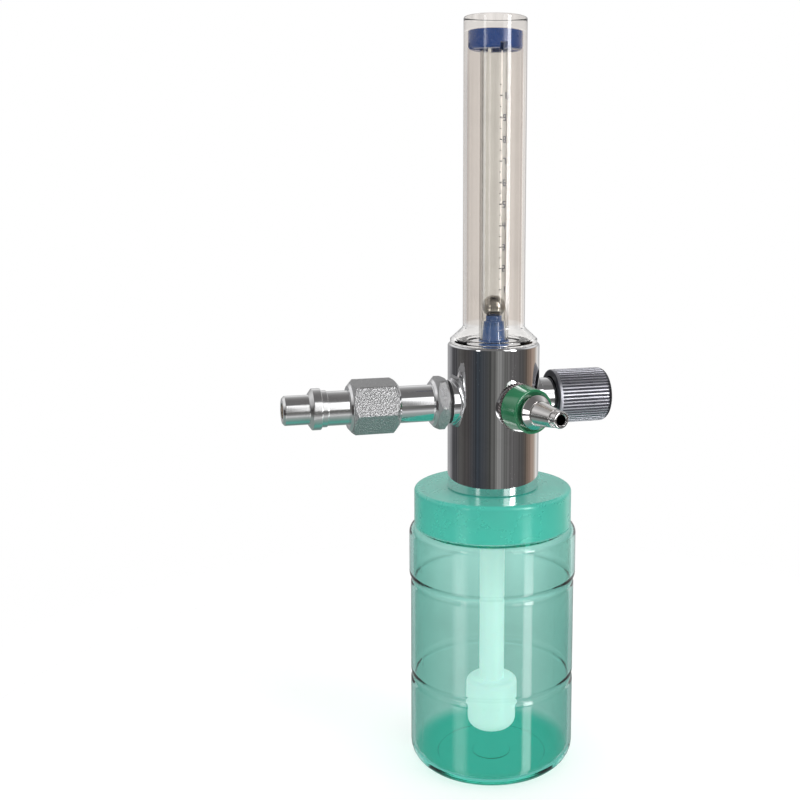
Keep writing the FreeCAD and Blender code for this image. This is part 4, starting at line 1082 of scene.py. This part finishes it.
@dataclass
class Outlet:
    """The washer, green collar and barbed nozzle."""

    face: float = PORT_FACE
    washer_end: float = 20.9
    collar_end: float = 30.5
    seat: float = 29.7
    bore: float = 5.55
    washer_radius: float = 9.8
    washer_teeth: int = 44
    tooth_depth: float = 0.35

    def build(self) -> None:
        """Builds and dresses the outlet."""
        self.washer()
        recess = 7.7
        collar = lathe("green_collar", [
            (self.bore, self.washer_end, 0), (9.4, self.washer_end, 0.25),
            (8.9, self.collar_end, 0.6), (recess, self.collar_end, 0.25), (recess, self.seat, 0),
            (self.bore, self.seat, 0)], Port.OUTLET)
        dress(collar, "green_moulded", "flowmeter", "green_plastic", "outlet_collar")
        gas, thread, flange, neck, barb, tip = 2.05, 5.5, 6.9, 4.5, 5.0, 3.4
        nozzle = lathe("nozzle", [
            (gas, 11.0, 0), (thread, 11.0, 0), (thread, self.seat, 0), (flange, self.seat, 0.2),
            (flange, 32.4, 0.9), (barb, 34.8, 0.25), (neck, 34.8, 0), (neck, 35.6, 0),
            (barb, 35.6, 0.2), (3.6, 45.6, 0.15), (3.1, 45.6, 0), (tip, 46.2, 0.15),
            (tip, 49.3, 0.6), (2.35, 49.3, 0.1), (gas, 49.0, 0)], Port.OUTLET)
        dress(nozzle, "outlet_chrome", "flowmeter", "chrome", "outlet_nozzle")

    def washer(self) -> None:
        """The washer behind the collar, its rim waved in and out as a knurl by a cosine."""
        outline = rounded([(self.bore, self.face, 0), (self.washer_radius, self.face, 0.2),
                           (self.washer_radius, self.washer_end, 0.2),
                           (self.bore, self.washer_end, 0)])
        angles = even_angles(self.washer_teeth * 8)
        wave = self.tooth_depth * (0.5 - 0.5 * np.cos(angles * self.washer_teeth))
        share = np.clip((outline[:, :1] - 9.0) / 0.5, 0, 1)
        radii = outline[:, :1] - share * wave
        piece = surface("collar_washer", radii, outline[:, 1:], angles, Port.OUTLET)
        dress(piece, "washer_steel", "flowmeter", "chrome", "outlet_washer")


@dataclass
class Valve:
    """The bonnet and the fluted knob along +X."""

    knob_radius: float = KNOB_RADIUS
    knob_start: float = 25.3
    knob_end: float = 49.9
    flute_start: float = 27.0
    flute_end: float = 46.2
    flute_radius: float = FLUTE_RADIUS
    flutes: int = 48
    stem_bore: float = 2.56

    def build(self) -> None:
        """Builds and dresses the valve."""
        thread, shoulder, neck, wide = 6.5, 8.1, 5.0, 3.56
        bonnet = lathe("bonnet", [
            (wide, 9.0, 0), (thread, 9.0, 0), (thread, PORT_FACE, 0), (shoulder, PORT_FACE, 0.2),
            (shoulder, 25.6, 0.1), (7.5, 26.2, 0.1), (neck, 26.2, 0), (neck, 30.8, 0.3),
            (self.stem_bore, 30.8, 0), (self.stem_bore, 17.0, 0), (wide, 17.0, 0)], Port.VALVE)
        dress(bonnet, "valve_chrome", "flowmeter", "chrome", "valve_bonnet")
        self.knob()
        dress_node("valve_spindle", "steel")
        dress_node("spindle_o_ring", "seal_rubber")
        dress_node("knob_screw", "steel")

    def flute_depth(self, angles: np.ndarray) -> np.ndarray:
        """Depth of the flutes at each angle: a circle's height over its chord, else nothing."""
        pitch = 2 * math.pi / self.flutes
        off = ((angles + pitch / 2) % pitch - pitch / 2) * self.knob_radius
        return np.sqrt(np.maximum(0.0, self.flute_radius ** 2 - off ** 2))

    def knob(self) -> None:
        """The knob: rows round its outside are pushed in where the flutes run."""
        radius, hollow, head, hole = self.knob_radius, 8.65, 3.05, 1.55
        outline = rounded([
            (hollow, self.knob_start, 0), (radius, self.knob_start, 0.8),
            (radius, self.flute_start, 0), (radius, self.flute_end, 0),
            (radius, self.knob_end, 3.0), (head, self.knob_end, 0.3), (head, 46.5, 0),
            (hole, 46.5, 0), (hole, 43.5, 0), (self.stem_bore, 43.5, 0), (self.stem_bore, 33.5, 0),
            (hollow, 33.5, 0)])
        angles = even_angles(self.flutes * 16)
        depth = self.flute_depth(angles)
        fluted = (outline[:, 0] > 9.6) & (outline[:, 1] > self.flute_start - 0.01)
        reach = np.clip((self.knob_radius - outline[:, 0]) / 1.2, 0, 1)
        share = np.where(fluted, 1 - reach, 0.0)
        start = np.flatnonzero(fluted)[0]
        outline = np.insert(outline, start, outline[start], axis=0)
        share = np.insert(share, start, 0.0)
        radii = outline[:, :1] - share[:, None] * depth
        piece = surface("knob_grip", radii, outline[:, 1:], angles, Port.VALVE, sharp=28.0)
        dress(piece, "knob_satin", "hand_wheel", "knob_metal", "knob")


@dataclass
class Lid:
    """The green lid with its seal and ring nut."""

    underside: float = 115.3
    top: float = BODY_FOOT
    rim: float = 102.55
    radius: float = 32.9
    bore: float = 30.8
    hole: float = 9.55

    def build(self) -> None:
        """Builds and dresses the lid."""
        piece = lathe("lid_shell", [
            (self.hole, self.underside, 0), (self.bore, self.underside, 0.6),
            (self.bore, self.rim, 0), (self.radius, self.rim, 0.3), (self.radius, self.top, 1.6),
            (self.hole, self.top, 0.2)], spacing=4.0)
        dress(piece, "lid_green", "flowmeter", "lid_plastic", "bottle_lid")
        dress_node("lid_gasket", "seal_rubber")
        dress_node("lid_nut", "nut_green")


@dataclass
class Bottle:
    """The blown bottle and its seal."""

    radius: float = 34.4
    band: float = 35.0
    wall: float = 1.7
    floor: float = 2.6
    groove: float = 0.7
    seam_height: float = 0.12
    seam_bearing: float = -73.4

    def build(self) -> None:
        """Builds and dresses the bottle."""
        outline = refine(self.outline(), 2.0)
        angles = self.seamed_angles()
        radii = outline[:, :1] + self.seam(angles, outline)
        piece = surface("bottle_shell", radii, outline[:, 1:], angles)
        dress(piece, "bottle_green", "bottle", "bottle_plastic", "jar")
        dress_node("jar_gasket", "seal_rubber")

    def outline(self) -> np.ndarray:
        """Outline of the bottle: the side is set inwards by the wall, so that the wall stays even."""
        inner, inner_band = self.radius - self.wall, self.band - self.wall
        radius, band, waist = self.radius, self.band, self.radius - self.groove
        neck, bore, low, high, rim = 30.3, 28.6, 12.0, 96.0, 113.9
        foot = rounded([
            (0, 0, 0), (8, 0, 0.2), (8, 0.6, 0.2), (23, 0.6, 0.3), (23, 0, 0.3), (radius, 0, 8.0),
            (radius, low, 0)], closed=False)
        side = rounded([
            (radius, low, 0), (radius, 35.5, 3.0), (waist, 37.3, 2.2), (radius, 39.1, 3.0),
            (radius, 77.7, 3.0), (waist, 79.5, 2.2), (band, 81.3, 2.4), (band, high, 0)],
            closed=False)
        top = rounded([
            (band, high, 0), (band, 102.4, 3.6), (neck, 102.4, 0.4), (neck, rim, 0.3),
            (bore, rim, 0.3), (bore, 100.7, 0.4), (inner_band, 100.7, 1.9),
            (inner_band, high, 0)], closed=False)
        along = np.gradient(side, axis=0)
        across = np.stack([-along[:, 1], along[:, 0]], axis=1)
        across /= np.linalg.norm(across, axis=1, keepdims=True)
        inside = side + across * self.wall
        floor = rounded([(inner, low, 0), (inner, self.floor, 6.3), (0, self.floor, 0)],
                        closed=False)
        return np.concatenate([foot, side[1:-1], top, inside[-2:0:-1], floor])

    def seamed_angles(self) -> np.ndarray:
        """Even angles with close columns across the two mould seams."""
        fine = np.linspace(-0.03, 0.03, 17)
        places = [math.radians(self.seam_bearing - 90), math.radians(self.seam_bearing + 90)]
        extra = np.concatenate([(place + fine) % (2 * math.pi) for place in places])
        return np.unique(np.round(np.concatenate([even_angles(240), extra]), 6))

    def seam(self, angles: np.ndarray, outline: np.ndarray) -> np.ndarray:
        """Height of the mould seams: a narrow bell curve across, on the outside wall only.

        Args:
            angles: Angle of each column.
            outline: The wall's outline.

        Returns:
            What is added to each radius, in millimetres.
        """
        place = math.radians(self.seam_bearing - 90)
        off = ((angles - place + math.pi / 2) % math.pi - math.pi / 2) * self.radius
        bell = self.seam_height * np.exp(-(off / 0.22) ** 2)
        shell = outline[:, 0] > self.radius - 1.2
        shell &= (outline[:, 1] > 4) & (outline[:, 1] < 101)
        shell &= np.arange(len(outline)) < np.argmax(outline[:, 1])
        return np.where(shell[:, None], bell[None], 0.0)


@dataclass
class Bubbler:
    """The dip tube and the bubbler on its end."""

    pipe_radius: float = 5.25
    pipe_bore: float = 4.05
    pipe_foot: float = 30.3
    pipe_top: float = 111.5
    cap_radius: float = 10.8
    cap_foot: float = 23.3
    cap_top: float = 34.3
    cup_radius: float = 10.2
    cup_foot: float = 12.4
    cup_top: float = 26.5

    def build(self) -> None:
        """Builds and dresses the dip tube and bubbler."""
        bore, foot = self.pipe_bore, self.pipe_foot
        tube = lathe("dip_pipe", [
            (bore, foot, 0), (self.pipe_radius, foot, 0), (self.pipe_radius, self.pipe_top, 0.2),
            (bore, self.pipe_top, 0.2)], spacing=8.0, count=128)
        dress(tube, "milky_white", "flowmeter", "white_plastic", "dip_tube")
        cap = lathe("bubbler_top", [
            (bore, 28.9, 0), (10.25, 28.9, 0.3), (10.25, self.cap_foot, 0),
            (self.cap_radius, self.cap_foot, 0.1), (self.cap_radius, self.cap_top, 2.4),
            (5.3, self.cap_top, 0.15), (5.3, foot, 0), (bore, foot, 0)], count=160)
        dress(cap, "milky_white", "flowmeter", "white_plastic", "bubbler_cap")
        cup = lathe("bubbler_base", [
            (0, self.cup_foot, 0), (self.cup_radius, self.cup_foot, 4.4),
            (self.cup_radius, self.cup_top, 0), (8.8, self.cup_top, 0), (8.8, 13.8, 3.0),
            (0, 13.8, 0)], count=160)
        dress(cup, "milky_white", "flowmeter", "white_plastic", "bubbler_cup")


@dataclass
class Studio:
    """Floor, light and camera."""

    lens: float = 50.50
    bearing: float = -18.357
    pitch: float = 7.237
    roll: float = 0.357
    distance: float = 0.459455
    height: float = 0.241558
    shift: tuple[float, float] = (-0.1171, -0.0858)
    floor_radius: float = 0.32
    floor_fade: float = 0.09
    ambient: float = 0.78
    glow_in_clear: float = 0.4

    def build(self) -> None:
        """Sets up everything round the object."""
        self.camera()
        self.world()
        self.floor()
        self.lamps()
        scene = bpy.context.scene
        scene.view_settings.view_transform = "Standard"

    def camera(self) -> None:
        """Places the camera where the photograph was taken from."""
        turn, pitch, roll = (math.radians(v) for v in (self.bearing, self.pitch, self.roll))
        away = Vector((math.sin(turn), -math.cos(turn), 0))
        forward = -away * math.cos(pitch) - Vector((0, 0, math.sin(pitch)))
        side = forward.cross(Vector((0, 0, 1))).normalized()
        up = side.cross(forward)
        right = side * math.cos(roll) + up * math.sin(roll)
        top = up * math.cos(roll) - side * math.sin(roll)
        data = bpy.data.cameras.new("camera")
        data.lens = self.lens
        data.sensor_width = 36.0
        data.shift_x, data.shift_y = self.shift
        data.clip_start, data.clip_end = 0.01, 20.0
        item = bpy.data.objects.new("camera", data)
        item.matrix_world = Matrix((
            (right.x, top.x, -forward.x, away.x * self.distance),
            (right.y, top.y, -forward.y, away.y * self.distance),
            (right.z, top.z, -forward.z, self.height), (0, 0, 0, 1)))
        bpy.context.scene.collection.objects.link(item)
        bpy.context.scene.camera = item

    def world(self) -> None:
        """White room for the eye, bands of light and dark for what is shiny."""
        world = bpy.data.worlds.new("studio")
        world.use_nodes = True
        bpy.context.scene.world = world
        net = Net(world.node_tree)
        path = net.add("LightPath").outputs
        walls = net.math("GREATER_THAN", path["Transmission Depth"], 0.5)
        inside = net.math("MULTIPLY", walls, self.glow_in_clear)
        pattern = net.background(net.added(self.room(net), inside), 1.0)
        reflected = net.math("GREATER_THAN", path["Glossy Depth"], 0.5)
        through = net.math("MULTIPLY", path["Is Transmission Ray"], reflected)
        shiny = net.math("MAXIMUM", path["Is Glossy Ray"], through)
        shiny = net.math("MULTIPLY", shiny, net.math("LESS_THAN", path["Diffuse Depth"], 0.5))
        seen = net.math("MAXIMUM", path["Is Camera Ray"], path["Is Transmission Ray"])
        plain = net.background((1.0, 1.0, 1.0, 1.0), self.ambient)
        white = net.background((1.0, 1.0, 1.0, 1.0), 1.0)
        lit = net.mixed(shiny, net.mixed(seen, plain, white), pattern)
        net.join(lit, net.tree.nodes["World Output"].inputs["Surface"])

    def room(self, net: Net) -> Socket:
        """Colours of the room by direction: bands at eye height, levels elsewhere, and strips.

        Args:
            net: The world's net.

        Returns:
            The colour.
        """
        place = net.add("SeparateXYZ", Vector=net.add("TexCoord").outputs["Generated"]).outputs
        bearing = net.math("ARCTAN2", place["X"], net.math("MULTIPLY", place["Y"], -1.0))
        turned = net.math("MULTIPLY_ADD", bearing, 0.5 / math.pi, 0.5 - self.bearing / 360)
        around = net.math("FRACT", turned)
        rise = net.math("MULTIPLY_ADD", place["Z"], 0.5, 0.5)
        streaks = net.add("TexNoise", Scale=70.0, Detail=4.0)
        streaks.noise_dimensions = "1D"
        net.join(around, streaks.inputs["W"])
        uneven = net.math("MULTIPLY_ADD", streaks.outputs["Fac"], 1.3, 0.35)

        def turn(stops: Stops) -> Socket:
            """Adds a ramp by the angle from the camera's direction, in degrees."""
            return net.ramp(around, [((angle + 180) / 360, colour) for angle, colour in stops])

        def lift(stops: Stops) -> Socket:
            """Adds a ramp by elevation in degrees, whose places run with the sine."""
            sines = [(math.sin(math.radians(angle)) + 1) / 2 for angle, _ in stops]
            return net.ramp(rise, [(sine, colour) for sine, (_, colour) in zip(sines, stops)])

        ring = net.scaled(turn(self.bands()), uneven)
        ahead = turn([(-75, 0.0), (-60, 1.0), (82, 1.0), (100, 0.0)])
        levels = net.blend(ahead, lift(self.back_levels()), lift(self.front_levels()))
        share = lift([(-22, 0.0), (-18, 1.0), (5, 1.0), (8, 0.0)])
        room = net.blend(share, levels, ring)
        for across, heights, strength in self.strips():
            strip = net.scaled(turn(across), lift(heights))
            room = net.added(room, net.scaled(strip, strength))
        return room

    @staticmethod
    def bands() -> Stops:
        """Colours round the room at eye height, by angle from the camera's direction."""
        return [
            (-180, 0.5), (-160, 0.42), (-145, (0.36, 0.36, 0.37)),
            (-132, (0.26, 0.26, 0.27)), (-122, (0.085, 0.085, 0.09)), (-106, (0.075, 0.075, 0.08)),
            (-92, (0.115, 0.112, 0.108)), (-76, (0.07, 0.066, 0.064)), (-64, (0.08, 0.075, 0.075)),
            (-52, (0.06, 0.062, 0.068)), (-38, (0.042, 0.052, 0.064)), (-20, (0.068, 0.072, 0.078)),
            (-9, (0.075, 0.077, 0.075)), (-2, (0.12, 0.12, 0.115)), (5, (0.13, 0.13, 0.125)),
            (11, (0.27, 0.27, 0.26)), (19, (0.24, 0.24, 0.235)), (30, (0.15, 0.15, 0.145)),
            (50, (0.135, 0.13, 0.13)), (76, (0.095, 0.092, 0.09)), (86, (0.10, 0.088, 0.08)),
            (97, (0.19, 0.145, 0.115)), (110, (0.36, 0.27, 0.22)), (124, (0.42, 0.34, 0.28)),
            (138, (0.85, 0.82, 0.78)), (146, 0.8), (156, 0.5),
            (180, 0.5)]

    @staticmethod
    def front_levels() -> Stops:
        """Colours in front of the object by elevation: floor, horizon, window and ceiling."""
        return [
            (-90, (0.12, 0.42, 0.36)), (-80, (0.15, 0.34, 0.30)), (-66, (0.25, 0.36, 0.335)),
            (-52, (0.35, 0.40, 0.385)), (-44, (0.45, 0.47, 0.47)), (-38, (0.66, 0.68, 0.68)),
            (-33, 0.62), (-27, 0.28), (-18, 0.24),
            (8, 0.2), (44, 0.18), (90, (0.17, 0.165, 0.165))]

    @staticmethod
    def back_levels() -> Stops:
        """Colours behind and beside the object by elevation."""
        return [
            (-90, (0.12, 0.42, 0.36)), (-60, (0.15, 0.25, 0.23)), (-40, (0.25, 0.33, 0.31)),
            (-10, 0.34), (12, 0.5), (26, 0.95),
            (45, 0.5), (90, (0.17, 0.165, 0.165))]

    @staticmethod
    def strips() -> list[tuple]:
        """Tall narrow lights: stops round the room, stops by elevation, and strength."""
        right = [(43, 0.0), (46, 1.0), (56, 1.0), (59, 0.0)]
        left = [(-44, 0.0), (-41, 1.0), (-35, 1.0), (-32, 0.0)]
        wide = [(-58, 0.0), (-49, 1.0), (-40, 1.0), (-31, 0.0)]
        window = [(27, 0.0), (29, 1.0), (40, 1.0), (43, 0.0)]
        return [
            (right, [(-45, 0.0), (-35, 0.4), (-20, 0.4), (-16.5, 0.0), (-6.6, 0.0), (-5.6, 1.0),
                     (12, 1.0), (20, 0.35), (40, 0.35), (46, 0.0)], 13.0),
            (left, [(-6.6, 0.0), (-5.6, 1.0), (12, 1.0), (16, 0.0)], 4.0),
            (wide, [(-45, 0.0), (-35, 1.0), (-20, 1.0), (-16.5, 0.0)], 2.4),
            (window, [(-2, 0.0), (1, 1.0), (42, 1.0), (50, 0.0)], 1.9)]

    def floor(self) -> None:
        """A pale floor that keeps the shadow and lets shiny pieces see the room."""
        angles = np.linspace(0, 2 * math.pi, 96, endpoint=False)
        rim = np.stack([np.cos(angles), np.sin(angles)], axis=1) * self.floor_radius
        points = np.column_stack([rim, np.full(len(rim), -0.0002)])
        mesh = bpy.data.meshes.new("floor")
        mesh.from_pydata(points.tolist(), [], [tuple(range(len(rim)))])
        floor = bpy.data.objects.new("floor", mesh)
        bpy.context.scene.collection.objects.link(floor)
        shade = Shade("pale_floor")
        shade.plain(Base_Color=(1.0, 1.0, 1.0, 1.0), Roughness=0.9, Specular_IOR_Level=0.0)
        path = shade.add("LightPath").outputs
        fade = shade.add("MapRange", Value=shade.vector("LENGTH", shade.place).outputs["Value"],
                         From_Min=self.floor_fade, From_Max=self.floor_radius - 0.01)
        fade.interpolation_type = "SMOOTHSTEP"
        passing = shade.math("MAXIMUM", path["Is Glossy Ray"], path["Is Transmission Ray"])
        unseen = shade.math("MAXIMUM", passing, fade.outputs["Result"])
        clear = shade.add("BsdfTransparent").outputs["BSDF"]
        shade.show(shade.mixed(unseen, shade.shader.outputs["BSDF"], clear))
        mesh.materials.append(shade.material)

    def lamps(self) -> None:
        """Large soft lamps above and to the right, hidden from reflections."""
        for name, place, size, power in (
                ("key", (0.9, -1.1, 1.3), 0.9, 9.0), ("fill", (-1.3, -0.9, 0.9), 1.1, 3.5),
                ("top", (0.0, 0.2, 1.7), 1.0, 5.0)):
            data = bpy.data.lights.new(name, "AREA")
            data.size = size
            data.energy = power
            lamp = bpy.data.objects.new(name, data)
            lamp.location = place
            aim = Vector((0, 0, 0.15)) - Vector(place)
            lamp.rotation_euler = aim.to_track_quat("-Z", "Y").to_euler()
            lamp.visible_glossy = False
            lamp.visible_camera = False
            lamp.visible_transmission = False
            bpy.context.scene.collection.objects.link(lamp)


def main() -> None:
    """Builds every sub-assembly and the studio, and reports each piece."""
    logging.basicConfig(level=logging.INFO, format="%(name)s: %(message)s")
    for part in (Body(), FloatTube(), Inlet(), Outlet(), Valve(), Lid(), Bottle(), Bubbler(),
                 Studio()):
        part.build()
        LOG.info("%s built", type(part).__name__)


if __name__ == "__main__":
    main()
